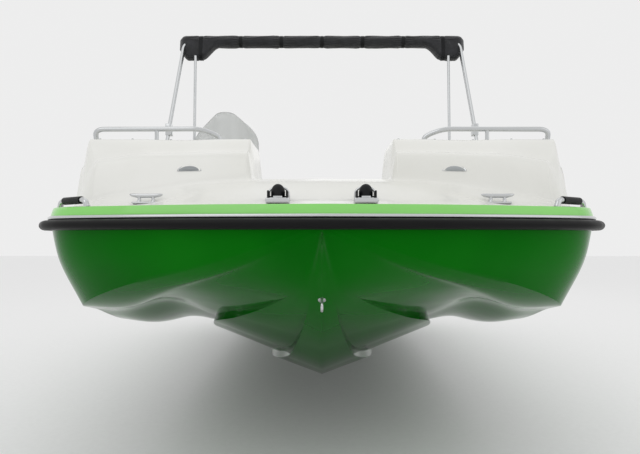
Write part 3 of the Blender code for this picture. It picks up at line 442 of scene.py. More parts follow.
def join(name, pieces):
    """Makes one mesh of several finished pieces, keeping their materials."""
    pieces = [p for p in pieces if p]
    for piece in pieces:
        flatten(piece)
    bpy.ops.object.select_all(action="DESELECT")
    for piece in pieces:
        piece.select_set(True)
    bpy.context.view_layer.objects.active = pieces[0]
    bpy.ops.object.join()
    pieces[0].name = name
    return pieces[0]


def flatten(item):
    """Applies an object's modifiers by reading its evaluated mesh."""
    if item.modifiers:
        graph = bpy.context.evaluated_depsgraph_get()
        made = bpy.data.meshes.new_from_object(item.evaluated_get(graph))
        item.modifiers.clear()
        item.data = made
    return item


def ride(item, body, slot, *replaced):
    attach(item, body)
    if replaced:
        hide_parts(*replaced)
    return item


def refined(node, name, body, material, slot, width=.004, segments=3, angle=35):
    """A merged copy of a CAD solid with its edges rounded, for mouldings whose shape is already right."""
    item = bpy.data.objects.new(name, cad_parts[node].data.copy())
    bpy.context.scene.collection.objects.link(item)
    work = bmesh.new()
    work.from_mesh(item.data)
    bmesh.ops.remove_doubles(work, verts=work.verts, dist=.00002)
    bmesh.ops.dissolve_limit(work, angle_limit=radians(1), verts=work.verts, edges=work.edges)
    work.to_mesh(item.data)
    work.free()
    paint(item, material)
    item.data.shade_smooth()
    item.data.set_sharp_from_angle(angle=radians(angle))
    if width:
        edge = item.modifiers.new("rounded", "BEVEL")
        edge.width = width
        edge.segments = segments
        edge.limit_method = "ANGLE"
        edge.angle_limit = radians(angle)
        edge.harden_normals = False
    return ride(item, body, slot, node)


# ---- hull ---------------------------------------------------------------------------------------
def hull_lines():
    """The boat's long lines, port half, keel to sheer, each a smooth curve from stem head to transom."""
    f = SHEER_Z
    k = KEEL_Z
    w = HALF_BEAM
    b = BOW_Y
    t = TRANSOM_Y
    return [
        [(0, b, f - .07), (0, b + .13, .40), (0, b + .33, .22), (0, b + .60, .04), (0, b + 1.0, k + .17),
         (0, b + 1.7, k + .02), (0, b + 3.45, k), (0, t, k)],
        [(0, b, f - .06), (.03, b + .14, .41), (.07, b + .36, .23), (.12, b + .67, .06),
         (.20, b + 1.07, -.10),
         (.34, b + 1.7, -.19), (.36, b + 3.45, k + .10), (.36, t, k + .10)],
        [(0, b, f - .05), (.10, b + .20, .375), (.22, b + .41, .275), (.42, b + .67, .18),
         (.60, b + 1.0, .11),
         (.66, b + 1.7, -.02), (.68, b + 3.45, -.12), (.68, t, -.13)],
        [(0, b, f - .04), (.25, b + .13, .46), (.52, b + .33, .36), (.70, b + .59, .29),
         (.79, b + .85, .245),
         (.85, b + 1.65, .05), (.89, b + 3.45, -.03), (.89, t, -.04)],
        [(0, b, f - .03), (.34, b + .12, .46), (.70, b + .30, .345), (.90, b + .52, .255),
         (1.00, b + .78, .20),
         (1.04, b + 1.6, .02), (1.06, b + 3.45, -.07), (1.05, t, -.09)],
        [(0, b, f - .025), (.42, b + .10, .48), (.84, b + .25, .37), (w - .21, b + .44, .275),
         (w - .15, b + .72, .215), (w - .12, b + 1.55, .045), (w - .11, b + 3.45, -.05),
         (w - .12, t, -.07)],
        [(0, b, f - .015), (.46, b + .07, .56), (.90, b + .19, .51), (w - .14, b + .36, .47),
         (w - .09, b + .66, .44), (w - .075, b + 1.5, .38), (w - .07, b + 3.45, .33), (w - .08, t, .30)],
        [(0, b, f), (.50, b + .05, f), (.93, b + .16, f), (w - .13, b + .30, f), (w - .045, b + .60, f),
         (w - .035, b + 1.45, f), (w - .035, b + 3.45, f), (w - .06, t, f)]]


STRAKE_STEP = .038
SHEER = smooth_line(hull_lines()[-1], 400)


def hull_rows(count):
    """Section curves from keel to sheer.

    Ahead of the spray strakes each section is one smooth curve through the long lines. Aft of there it is
    broken into runs that meet at each strake's sharp edge, and the two forms are blended by a smooth step.
    """
    lines = [smooth_line(line, count) for line in hull_lines()]
    keel, lower, upper, tunnel, inner, chine, flare, sheer = lines
    grown = smoothstep((np.linspace(0, 7, count) - 1.2) / 2.3)[:, None]
    step = grown * np.array([[-.3 * STRAKE_STEP, 0, STRAKE_STEP]])
    t = np.linspace(0, 1, 9)[:, None, None]
    edge = np.linspace(0, 1, 4)[:, None, None]
    low = keel[None] * (1 - t) + lower[None] * t
    first = lower[None] + step[None] * edge
    middle = (lower + step)[None] * (1 - t) + upper[None] * t
    second = upper[None] + step[None] * edge
    outer = smooth_line(np.array([upper + step, tunnel, inner, chine]), 25)
    broken = np.concatenate([low, first[1:], middle[1:], second[1:], outer[1:]])
    whole = smooth_line(np.array([keel, lower, upper, tunnel, inner, chine]), 41)
    whole = np.concatenate([whole[:9], whole[8:9], whole[8:9], whole[8:9], whole[9:17], whole[16:17],
                            whole[16:17],
                            whole[16:17], whole[17:]])
    share = smoothstep((np.linspace(0, 7, count) - .9) / 1.2)[None, :, None]
    side = smooth_line(np.array([chine, flare, sheer]), 17)
    return np.concatenate([broken * share + whole * (1 - share), side[1:]])


def build_hull():
    """The hull lines' rows laid as a skin from keel to sheer, mirrored and closed."""
    count = 180
    rows = hull_rows(count)
    both = np.concatenate([rows[:0:-1] * np.array([-1, 1, 1]), rows])
    columns = len(both)
    points = both.transpose(1, 0, 2).reshape(-1, 3)
    faces = grid_faces(count, columns)
    last = (count - 1) * columns
    well = .42
    floor = .20
    front = TRANSOM_Y - .63
    extra = np.array([(x, y, z) for y in (TRANSOM_Y, front) for x, z in
                      ((-well, SHEER_Z), (-well, floor), (well, floor), (well, SHEER_Z))])
    base = len(points)
    points = np.concatenate([points, extra])
    faces.append([last + k for k in range(columns)] + [base + 3, base + 2, base + 1, base])
    faces += [[base, base + 1, base + 5, base + 4], [base + 1, base + 2, base + 6, base + 5],
              [base + 2, base + 3, base + 7, base + 6], [base + 4, base + 5, base + 6, base + 7]]
    hull = surface("hull_moulding", points, faces, "green", True, 32)
    return ride(hull, "boat", "green_gelcoat", "hull")


def sheer_path(inset, count=400):
    """The whole sheer in plan from starboard transom corner round the bow to port, moved inboard."""
    line = smooth_line(hull_lines()[-1], count)
    along = np.gradient(line, axis=0)
    along[0] = (1, 0, 0)
    normal = unit(np.stack([-along[:, 1], along[:, 0], np.zeros(count)], axis=1))
    port = line + normal * inset
    port[0, 0] = 0
    return np.concatenate([port[:0:-1] * np.array([-1, 1, 1]), port])


def strip(name, profile, material, angle=50):
    """A closed profile of (inset, height) pairs carried round the sheer line."""
    rings = np.stack([sheer_path(inset) + np.array([0, 0, z]) - np.array([0, 0, SHEER_Z]) for inset,
                      z in profile], axis=1)
    return sweep(name, rings, material, False, angle)


def build_rub_rail():
    """A rounded rubber section with a steel insert, carried round the sheer."""
    h = RAIL_HIGH.z - RAIL_LOW.z
    z = RAIL_LOW.z + h / 2
    a = np.linspace(-pi / 2, pi / 2, 15)
    depth = .043
    body = [(-.002 - depth * (.38 + .62 * cos(t)), z + h / 2 * sin(t)) for t in a]
    rail = strip("rub_rail_vinyl", body + [(-.0025, z + h / 2), (-.0025, z - h / 2)], "rail")
    insert = [(-.0425 - .0022 * cos(t), z + .006 * sin(t)) for t in np.linspace(-pi / 2, pi / 2, 7)]
    track = strip("rub_rail_insert", insert + [(-.040, z + .006), (-.040, z - .006)], "nylon")
    trim = [(-.003 - .008 * cos(t), z + h / 2 + .009 + .009 * sin(t))
            for t in np.linspace(-pi / 2, pi / 2, 9)]
    bead = strip("rub_rail_steel_trim", trim + [(.001, z + h / 2 + .018), (.001, z + h / 2)], "steel")
    ride(join("rub_rail_finished", [rail, track]), "boat", "black_rail", "rub_rail")
    ride(bead, "boat", "stainless")


# ---- deck ---------------------------------------------------------------------------------------
CROWN = .20
WALKWAY = .32
LID_LOW, LID_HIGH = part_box("anchor_locker_lid")
COCKPIT_X = 1.0253
COCKPIT_FRONT_Y = BOW_Y + .965
COCKPIT_AFT_Y = TRANSOM_Y - .635


def to_sheer(x, y):
    """Distance in plan from points of the port half to the sheer line's straight pieces."""
    reach = np.full(np.shape(x), 9.0)
    for start_at, way in zip(np.array_split(SHEER[:-1, :2], 20),
                             np.array_split(np.diff(SHEER[:, :2], axis=0), 20)):
        dx = x[..., None] - start_at[:, 0]
        dy = y[..., None] - start_at[:, 1]
        t = np.clip((dx * way[:, 0] + dy * way[:, 1]) / np.maximum((way ** 2).sum(axis=1), 1e-12), 0, 1)
        reach = np.minimum(reach, np.hypot(dx - t * way[:, 0], dy - t * way[:, 1]).min(axis=-1))
    return reach


def deck_height(x, y):
    """Height of the deck moulding over the plan.

    An upright band at the rail, a crown that rises over half a metre, and the coaming: the product of an
    outer wall with a crease, a front wall and the walkway's wall, all smooth steps. Two scoops hold the
    cleats.
    """
    x = np.abs(x)
    back = y - BOW_Y
    reach = to_sheer(x, y)
    base = SHEER_Z + GAP + .055 * np.clip(reach / .014, 0, 1) ** .6
    base += (CROWN - .055) * smoothstep((reach - .014) / .5)
    scoop = np.exp(-((x - .77) / .19) ** 2 - ((back - .335 - .35 * (x - .77) ** 2) / .085) ** 2)
    base -= .030 * scoop * smoothstep(reach / .1)

    def wall(q):
        return .60 * smoothstep(q / .42) + .05 * np.clip(q, 0, 1) + .35 * smoothstep((q - .52) / .48)

    side = wall((HALF_BEAM - .058 - x - .03 * smoothstep((.8 - back) / .35)) / .085)
    front = wall((back - .43) / .22)
    front_round = smoothstep((back - .40 - 1.1 * np.clip(x - 1.06, 0, 1)) / .14)
    gate = np.where(back < 1.2, smoothstep((x - WALKWAY) / .034), 1.0)
    stern = smoothstep((5.17 - back) / .08) * (1 - .45 * smoothstep((back - 4.2) / .9))
    mixed = side * front * front_round * gate * stern
    top = COAMING_Z - .004 * np.cos(x * 9)
    height = base + (np.minimum(top, COAMING_Z) - base) * mixed
    pit = (x < LID_HIGH.x + .0075) & (y > LID_LOW.y - .0075) & (y < LID_HIGH.y + .0075)
    return np.where(pit, LID_LOW.z - .004, height)


def deck_lines():
    """Matched points on the rail and on the cockpit's edge, port half, bow to stern."""
    xs = np.concatenate([np.linspace(0, .165, 8), [.174, .1769, .1779, .182], np.linspace(.2, .305, 6),
                         np.linspace(.312, .366, 15), np.linspace(.385, .90, 28)])
    first = SHEER[:np.argmax(SHEER[:, 1] > BOW_Y + .3)]
    y_out = np.interp(xs, first[:, 0], first[:, 1])
    rail = np.stack([xs, y_out], axis=1)
    edge = np.stack([xs, np.full(len(xs), COCKPIT_FRONT_Y)], axis=1)
    start_at = np.argmax(SHEER[:, 0] > .905)
    rest = SHEER[start_at:, :2]
    rest = rest[rest[:, 1] < COCKPIT_AFT_Y]
    travelled = np.concatenate([[0], np.cumsum(np.hypot(*np.diff(rest, axis=0).T))])
    corner = np.array([[.91, COCKPIT_FRONT_Y], [.96, COCKPIT_FRONT_Y + .06],
                       [COCKPIT_X - .01, COCKPIT_FRONT_Y + .17],
                       [COCKPIT_X, COCKPIT_FRONT_Y + .40], [COCKPIT_X, COCKPIT_AFT_Y]])
    at = np.interp(travelled, [0, .16, .42, .95, travelled[-1]], np.arange(5))
    inner = np.stack([np.interp(at, np.arange(5), corner[:, k]) for k in (0, 1)], axis=1)
    return np.concatenate([rail, rest]), np.concatenate([edge, inner])


def build_deck():
    """The deck as a height over the plan, with its cockpit cut out."""
    rail, edge = deck_lines()
    count = 92
    run = np.linalg.norm(edge - rail, axis=1)
    band = np.array([0, .002, .005, .009, .014, .022])
    t = np.concatenate([np.broadcast_to(band, (len(run), 6)) / run[:, None],
                        np.linspace(.03 / run, 1, count - 6, axis=1)], axis=1)
    plan = rail[:, None] + (edge - rail)[:, None] * t[..., None]
    z = deck_height(plan[..., 0], plan[..., 1])
    inward = unit(edge - rail)
    lip = np.array([(0, .0), (.012, .0), (.026, -.003), (.033, -.012), (.034, -.036)])
    over = edge[:, None] + inward[:, None] * lip[None, 1:, :1]
    drop = z[:, -1:] + lip[None, 1:, 1]
    skirt = rail[:, None]
    plan = np.concatenate([skirt, plan, over], axis=1)
    z = np.concatenate([np.full((len(run), 1), SHEER_Z - .002), z, drop], axis=1)
    port = np.concatenate([plan, z[..., None]], axis=2)
    ring = np.concatenate([port[:0:-1] * np.array([-1, 1, 1]), port])
    rows, columns = ring.shape[:2]
    deck = surface("deck_ring", ring.reshape(-1, 3), grid_faces(rows, columns), "white", True, 50)
    pieces = [deck]
    for side in (1, -1):
        ys = np.linspace(COCKPIT_AFT_Y - .012, TRANSOM_Y, 30)
        outline = np.interp(ys, SHEER[:, 1], SHEER[:, 0])
        u = np.concatenate([np.array([0, .002, .005, .009, .014, .022, .035]) / .85,
                            np.linspace(.07, 1, 50)])
        x = outline[:, None] + (.42 - outline[:, None]) * u
        y = np.broadcast_to(ys[:, None], x.shape)
        top = deck_height(x, y)
        low = np.full((len(ys), 1), SHEER_Z - .002)
        x = np.concatenate([x[:, :1], x, x[:, -1:]], axis=1)
        top = np.concatenate([low, top, low], axis=1)
        y = np.broadcast_to(ys[:, None], x.shape)
        patch = np.stack([side * x, y, top], axis=2)
        end = patch[-1:].copy()
        end[..., 2] = SHEER_Z - .002
        patch = np.concatenate([patch[:1] * [1, 1, 0] + [0, 0, SHEER_Z - .002], patch, end])
        pieces.append(surface("aft_deck", patch.reshape(-1, 3), grid_faces(*patch.shape[:2]), "white",
                              True, 50))
    deck = join("deck_moulding", pieces)
    colour_band(deck)
    return ride(deck, "boat", "white_gelcoat", "deck")


def colour_band(deck):
    """Faces of the upright band over the rub rail take the band's gel coat: a real green stripe, painted
    lighter green as a painted reflection.
    """
    mesh = deck.data
    mesh.materials.append(MATERIALS["band"])
    centre = np.zeros(len(mesh.polygons) * 3)
    mesh.polygons.foreach_get("center", centre)
    centre = centre.reshape(-1, 3)
    x = np.abs(centre[:, 0])
    away = to_sheer(x, centre[:, 1])
    corner = 1 + 1.3 * np.exp(-((x - 1.15) / .16) ** 2 - ((centre[:, 1] - BOW_Y - .35) / .25) ** 2)
    chosen = (away < .0165 * corner) & (centre[:, 2] < SHEER_Z + .085)
    mesh.polygons.foreach_set("material_index", chosen.astype(np.int32))


# ---- stage --------------------------------------------------------------------------------------
def build_stage(look):
    """A flat pale floor at the lowest point, an even surround, four soft lights and the camera."""
    floor_z = CAD_BOX[0][2]
    floor = surface("studio_floor", np.array([(-30, -30, floor_z), (30, -30, floor_z), (30, 30, floor_z),
                                              (-30, 30, floor_z)]),
                    [[0, 1, 2, 3]], "floor", False)
    bpy.context.scene.view_settings.view_transform = "Standard"
    world = bpy.data.worlds.new("studio")
    world.use_nodes = True
    world.node_tree.nodes["Background"].inputs["Color"].default_value = (1, 1, 1, 1)
    world.node_tree.nodes["Background"].inputs["Strength"].default_value = look.sky
    bpy.context.scene.world = world
    for name, place, size, power in (("key", (-3.5, -6.5, 5.5), 4.5, look.key),
                                     ("fill", (5.5, -5, 3.5), 5, look.key * .55),
                                     ("top", (0, 0, 6.5), 6, look.key * .8),
                                     ("back", (2, 8, 5), 5, look.key * .5)):
        lamp = bpy.data.lights.new(name, "AREA")
        lamp.size = size
        lamp.energy = power
        made = bpy.data.objects.new(name, lamp)
        made.location = place
        made.rotation_euler = (Vector((0, -.5, .4)) - Vector(place)).to_track_quat("-Z", "Y").to_euler()
        bpy.context.scene.collection.objects.link(made)
    lens = bpy.data.cameras.new("bow_view")
    lens.lens = look.lens
    lens.sensor_width = 36
    lens.shift_x = look.shift_x
    lens.shift_y = look.shift_y
    camera = bpy.data.objects.new("bow_view", lens)
    camera.location = (look.eye_x, BOW_Y - look.distance, SHEER_Z + look.eye_rise)
    camera.rotation_euler = (radians(90), 0, 0)
    bpy.context.scene.collection.objects.link(camera)
    bpy.context.scene.camera = camera


# ---- bow fittings -------------------------------------------------------------------------------
def height_at(x, y):
    """The deck's height at one place."""
    return float(deck_height(np.array([x]), np.array([y]))[0])


def centre_of(node):
    """The middle of a node's box."""
    low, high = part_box(node)
    return (low + high) / 2


def rounded_box(name, low, high, radius, material, count=7):
    """A box with round edges: a cube's grid pushed onto spheres at its inner corners."""
    low, high = np.array(low, dtype=float), np.array(high, dtype=float)
    radius = min(radius, *(high - low) / 2.001)
    lean = np.concatenate([np.linspace(-pi / 2, 0, count), np.linspace(0, pi / 2, count)])
    turn = np.concatenate([np.linspace(q * pi / 2, (q + 1) * pi / 2, count) for q in range(4)])
    corner = np.repeat(np.array([(1, 1), (-1, 1), (-1, -1), (1, -1)]), count, axis=0)
    half = (high - low) / 2 - radius
    middle = (low + high) / 2
    rise = np.repeat([-1, 1], count)
    ring = np.stack([np.cos(turn), np.sin(turn)], axis=1)
    xy = corner * half[:2] + radius * np.cos(lean)[:, None, None] * ring
    z = rise * half[2] + radius * np.sin(lean)
    points = np.concatenate([xy, np.broadcast_to(z[:, None, None], (*xy.shape[:2], 1))], axis=2) + middle
    return sweep(name, points, material, False, 35)


def build_bow_lights():
    """Two black navigation domes, each in a polished cradle with side fins."""
    for word in SIDES:
        low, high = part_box("bow_dome_" + word)
        c = (low + high) / 2
        r = (high.x - low.x) / 2
        h = high.z - low.z
        t = np.linspace(0, pi / 2, 10)
        profile = [(0, 0), (r * .96, 0), (r, .003), (r, h * .45)] + [
            (r * cos(a) if a < pi / 2 - .01 else 0, h * .45 + h * .55 * sin(a)) for a in t]
        dome = turned("bow_dome_shade_" + word, (c.x, c.y, low.z), (0, 0, 1), profile, "nylon")
        ring = turned("bow_dome_ring_" + word, (c.x, c.y, low.z), (0, 0, 1),
                      [(r + .0005, .001), (r + .006, .001), (r + .006, .012), (r + .0005, .014)], "steel")
        ride(dome, "boat", "black_rail", "bow_dome_" + word)
        low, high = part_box("bow_bracket_" + word)
        x0 = low.x + .008
        x1 = high.x - .008
        y = c.y - .006
        top = high.z + .004
        route = rounded_route([(x0, y, low.z), (x0, y, top), (x1, y, top), (x1, y, low.z)], .034, 12)
        hoop = tube("bow_hoop_" + word, route + np.array([0, .04, 0]), .0055, "steel", 14)
        base = rounded_box("cradle_" + word, (low.x, low.y, low.z), (high.x, high.y, low.z + .022), .007,
                           "steel")
        fins = [rounded_box("fin_%s" % word, (c.x + end * .037 - .004, low.y + .004, low.z + .016),
                            (c.x + end * .037 + .004, high.y - .01,
                             high.z - .012), .0038, "nylon", 4) for end in (-1, 1)]
        cradle = join("bow_cradle_" + word, [hoop, base, ring] + fins)
        ride(cradle, "boat", "stainless", "bow_bracket_" + word)


def cleat(node):
    """A pull-up cleat: dished base plate, two posts and a horn that thins towards its ends."""
    low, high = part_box(node)
    c = (low + high) / 2
    z = height_at(c.x, c.y) - .001
    turned_y = "bow" in node
    reach = .072
    top = high.z - .012 if not turned_y else z + .032

    def at(across, along, height):
        return (c.x + (along if turned_y else across), c.y + (across if turned_y else along), z + height)

    t = np.linspace(-1, 1, 25)
    path = np.array([at(0, reach * k, top - z + .006 * k ** 4) for k in t])
    horn = tube("horn", path, .0095 * np.sqrt(np.clip(1.02 - np.abs(t) ** 5, .08, 1)), "steel", 18)
    posts = [tube("post", np.array([at(0, reach * .42 * e, h) for h in np.linspace(0, top - z, 6)]),
                  np.array([.013, .0095, .008, .0078, .008, .009]), "steel", 16) for e in (-1, 1)]
    sizes = (.021, .058) if not turned_y else (.058, .021)
    plate = rounded_box("plate", (c.x - sizes[0], c.y - sizes[1], z - .004),
                        (c.x + sizes[0], c.y + sizes[1], z + .005), .004, "steel")
    return ride(join(node + "_finished", [horn, plate] + posts), "boat", "stainless", node)


def docking_light(word):
    """A half-moon lamp let into the pod's face: chrome bezel, dark bowl and a bulged lens."""
    c = centre_of("docking_light_" + word)
    ys = np.linspace(BOW_Y + .40, BOW_Y + .72, 300)
    hs = deck_height(np.full(300, c.x), ys)
    y = float(np.interp(c.z, hs, ys))
    slope = Vector((0, -1, .55)).normalized()
    up = Vector((0, slope.z, -slope.y)).normalized()
    w, h = .058, .034
    around = np.linspace(0, pi, 22)
    half = np.stack([w * np.cos(around), h * np.sin(around) ** .9], axis=1)
    bottom = np.stack([np.linspace(-w, w, 12)[1:-1], np.full(10, -.002)], axis=1)
    outline = np.concatenate([half, bottom])
    base = np.array((c.x, y, c.z - .008))
    out, top = np.array(slope), np.array(up)

    def ring(scale, depth):
        flat = (outline - [0, h * .4]) * scale + [0, h * .4]
        return base + flat[:, :1] * np.array([1, 0, 0]) + flat[:, 1:] * top + out * depth

    bezel = sweep("bezel", [ring(1.0, -.012), ring(1.0, .003), ring(.93, .006), ring(.84, .004),
                            ring(.84, -.012)], "steel")
    bowl = sweep("bowl", [ring(.85, -.013), ring(.85, -.002), ring(.4, -.006)], "nylon")
    lens = sweep("lens", [ring(.86, .001), ring(.86, .003), ring(.6, .007), ring(.3, .009),
                          ring(.05, .0095)], "lens")
    ride(join("docking_lamp_" + word, [lens, bezel, bowl]), "boat", "light_lens", "docking_light_" + word)


def build_bow_eye():
    """A U-bolt on a backing plate, standing square to the stem."""
    low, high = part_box("bow_eye")
    c = (low + high) / 2
    out = unit(np.array([0, -.67, -.74]))
    up = np.cross(out, (1, 0, 0))
    foot = np.array((0, c.y, c.z)) - out * .030
    a = np.linspace(0, pi, 24)
    arc = foot + out * .028 + np.cos(a)[:, None] * up * .020 + np.sin(a)[:, None] * out * .022
    path = np.concatenate([[foot + up * .020], arc, [foot - up * .020]])
    bolt = tube("bow_eye_bolt", path, .0058, "steel", 16)
    plate = turned("bow_eye_plate", foot - out * .004, out,
                   [(0, 0), (.017, 0), (.017, .003), (.014, .005), (0, .005)], "steel")
    ride(join("bow_eye_finished", [bolt, plate]), "boat", "stainless", "bow_eye")


def flange(place, radius=.026):
    return turned("flange", place, (0, 0, 1), [(0, 0), (radius, 0), (radius, .003), (radius * .72, .008),
                                               (radius * .55, .010), (0, .010)],
                  "steel", 28)


def build_rails():
    """Two long rails over the bow pods and two low grab rails at the corners."""
    for side, word in ((1, "port"), (-1, "starboard")):
        low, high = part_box("bow_rail_" + word)
        top = high.z - .0125
        y = high.y - .018
        outer = max(abs(low.x), abs(high.x)) - .0125
        inner = min(abs(low.x), abs(high.x)) + .0125
        route = rounded_route([(side * outer, y, COAMING_Z - .004), (side * outer, y - .02, top),
                               (side * (inner + .09), y - .03, top), (side * inner, y, COAMING_Z + .03),
                               (side * inner, y, COAMING_Z - .004)], .05, 14)
        rail = tube("rail", route, .0125, "steel", 22)
        mid = (outer + inner) / 2
        post = tube("post", np.array([(side * mid, y - .025, COAMING_Z - .004),
                                      (side * mid, y - .025, top)]), .010, "steel", 18)
        feet = [flange((side * x, y - dy, COAMING_Z - .003)) for x,
                dy in ((outer, 0), (inner, 0), (mid, .025))]
        ride(join("bow_handrail_" + word, [rail, post] + feet), "boat", "stainless", "bow_rail_" + word)
        edge = HALF_BEAM - .13
        z = SHEER_Z + .085
        corner = [(edge - .175, BOW_Y + .240, z - .03), (edge - .165, BOW_Y + .245, z),
                  (edge - .010, BOW_Y + .365, z),
                  (edge, BOW_Y + .375, z - .03)]
        path = rounded_route([(side * x, yy, zz) for x, yy, zz in corner], .03, 12)
        grab = tube("grab", path, .0125, "steel", 22)
        # Painted reflection: a black sleeve over the middle run stands in for the dark reflection along the
        # steel tube.
        dark_sleeve_painted_reflection = tube("dark_sleeve_painted_reflection", path[[12, 13]], .0165, "nylon", 22)
        ride(join("corner_handrail_" + word, [grab, dark_sleeve_painted_reflection]), "boat", "stainless", "corner_rail_" + word)


def build_snaps():
    """Canvas snap studs along the coaming tops, a small dome about every 25 cm."""
    studs = []
    for side in (1, -1):
        spots = [(side * x, BOW_Y + .665) for x in (.38, .56, .75, .94, 1.10)]
        spots += [(side * (HALF_BEAM - .165), y) for y in np.arange(BOW_Y + .86, BOW_Y + 4.2, .26)]
        for x, y in spots:
            studs.append(turned("stud", (x, y, height_at(x, y) - .0008), (0, 0, 1),
                                [(0, 0), (.0085, 0), (.0085, .0015), (.0055, .0025), (.0058, .0055),
                                 (.003, .007), (0, .0072)], "steel", 14))
    ride(join("canvas_snap_studs", studs), "boat", "stainless")


def build_lamps_and_cleats():
    """The docking lights and the two bow cleats."""
    for word in ("port", "starboard"):
        docking_light(word)
        cleat("bow_cleat_" + word)


# ---- cockpit ------------------------------------------------------------------------------------
def build_cockpit():
    """The liner and its lids, kept in shape from the frame and given rounded edges."""
    liner = refined("cockpit_liner", "cockpit_moulding", "boat", "white", "white_gelcoat", .012, 3)
    liner.data.materials.append(MATERIALS["tread"])
    mesh = liner.data
    centre = np.zeros(len(mesh.polygons) * 3)
    normal = np.zeros(len(mesh.polygons) * 3)
    mesh.polygons.foreach_get("center", centre)
    mesh.polygons.foreach_get("normal", normal)
    floor = (normal.reshape(-1, 3)[:, 2] > .9) & (centre.reshape(-1, 3)[:, 2] < .15)
    mesh.polygons.foreach_set("material_index", floor.astype(np.int32))
    refined("anchor_locker_lid", "anchor_lid_moulding", "anchor_lid", "tread", "white_gelcoat", 0)
    refined("ski_locker_lid", "ski_lid_moulding", "ski_lid", "tread", "white_gelcoat", 0)
    for node, body in (("anchor_locker_lid", "anchor_lid"), ("ski_locker_lid", "ski_lid")):
        low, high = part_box(node)
        y = (low.y + high.y) / 2 if body == "ski_lid" else low.y + .05
        latch = turned("latch", (0, y, high.z - .001), (0, 0, 1),
                       [(0, 0), (.026, 0), (.026, .002), (.018, .0035), (.014, .001), (0, .001)], "steel")
        ride(latch, body, "stainless").name = body + "_latch"


# ---- helm ---------------------------------------------------------------------------------------
WHEEL_AXIS = unit(np.array((0, cos(radians(30)), sin(radians(30)))))


def build_helm():
    """Console, wheel and seat, and a windscreen bowed back by the square of the distance across."""
    refined("helm_console", "console_moulding", "boat", "white", "white_gelcoat", .004, 2)
    low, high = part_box("windscreen")
    c = (low + high) / 2
    u = np.linspace(-1, 1, 41)
    v = np.linspace(0, 1, 26)
    half = (high.x - low.x) / 2 * (1 - .56 * np.clip((v - .55) / .45, 0, 1) ** 2.2) * (.985 + .015 * v)
    x = c.x + half[:, None] * u
    lean = low.y + .004 + (high.z - low.z) * v[:, None] * .44
    y = lean + .20 * u ** 2 * (half[:, None] / half[0]) ** 2
    z = low.z + (high.z - low.z) * v[:, None] * (1 - .10 * np.abs(u) ** 3 * v[:, None] ** 2)
    points = np.stack([x, np.minimum(y, high.y - .004), z + 0 * x], axis=2)
    sheet = surface("windscreen_acrylic", points.reshape(-1, 3), grid_faces(26, 41), "acrylic", True, 60)
    wall = sheet.modifiers.new("wall", "SOLIDIFY")
    wall.thickness = .005
    wall.offset = 0
    ride(sheet, "boat", "acrylic", "windscreen")
    edge = np.concatenate([points[::-1, 0], points[0, 1:-1], points[:, -1]])
    gasket = tube("windscreen_gasket", edge[23:-23], .006, "rail", 12)
    ride(gasket, "boat", "black_rail")
    build_wheel()
    refined("helm_boss", "helm_boss_cover", "boat", "nylon", "black_rail", .003, 2)
    refined("throttle", "throttle_control", "boat", "nylon", "black_rail", .0015, 2)
    build_gauges()
    refined("seat_pedestal", "pedestal_column", "boat", "steel", "stainless", 0)
    refined("helm_seat_shell", "seat_shell_moulding", "helm_seat", "white", "white_gelcoat", .004, 3)


def build_wheel():
    """Rim with finger grips, three flat spokes and a domed hub, about the wheel's own axis."""
    centre = np.array((-.70, -.555, .80))
    side = unit(np.cross(WHEEL_AXIS, (1, 0, 0)))
    other = np.cross(WHEEL_AXIS, side)
    a = np.linspace(0, 2 * pi, 128, endpoint=False)
    b = np.linspace(0, 2 * pi, 16, endpoint=False)
    thick = .0135 * (1 + .03 * np.cos(18 * a))
    out = np.cos(a)[:, None] * side + np.sin(a)[:, None] * other
    rings = centre + out[:, None] * (.17 + thick[:, None, None] * np.cos(b)[None, :, None]) \
        + WHEEL_AXIS * thick[:, None, None] * np.sin(b)[None, :, None]
    rim = sweep("rim", rings, "nylon", True)
    hub = turned("hub", centre - WHEEL_AXIS * .028, WHEEL_AXIS,
                 [(0, 0), (.030, 0), (.034, .010), (.034, .028), (.028, .036), (.014, .0395),
                  (0, .040)], "nylon")
    spokes = []
    for k in range(3):
        angle = 2 * pi * k / 3
        way = np.cos(angle) * (-side) + np.sin(angle) * other
        across = np.cross(WHEEL_AXIS, way)
        t = np.linspace(.02, .165, 14)
        width = .011 + .006 * ((t - .09) / .07) ** 2
        turn = np.linspace(0, 2 * pi, 14, endpoint=False)
        wide = width[:, None, None] * np.cos(turn)[None, :, None] * across
        ring = centre + t[:, None, None] * way + wide \
            + .0035 * np.sin(turn)[None, :, None] * WHEEL_AXIS - WHEEL_AXIS * .006
        spokes.append(sweep("spoke", ring, "steel"))
    ride(join("steering_wheel_finished", [rim, hub] + spokes), "wheel", "black_rail", "steering_wheel")


def build_gauges():
    """Round gauges with steel bezels in two rows on the sloping dash, dials left blank."""
    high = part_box("helm_console")[1]
    out = unit(np.array((0, .857, .514)))
    parts = []
    for x, down, r in ((-.83, .06, .040), (-.72, .055, .048), (-.60, .055, .048), (-.49, .06, .040)):
        y = high.y - .12 + down * .514 * 1.12
        z = high.z - .02 - down * .857 * 1.12
        place = np.array((x, y, z)) - out * .001
        parts.append(turned("bezel", place, out,
                            [(r - .006, .001), (r, 0), (r, .005), (r - .003, .008),
                             (r - .006, .006)], "steel", 36))
        parts.append(turned("dial", place, out, [(0, 0), (r - .0055, 0), (r - .0055, .0042), (0, .0042)],
                            "nylon", 36))
    for k in range(6):
        place = np.array((-.86 + .055 * k, high.y - .012, high.z - .20)) + out * -.012
        parts.append(turned("switch", place, out,
                            [(0, 0), (.009, 0), (.009, .012), (.006, .016), (0, .0165)], "nylon", 16))
    ride(join("dash_gauges", parts), "boat", "black_rail")


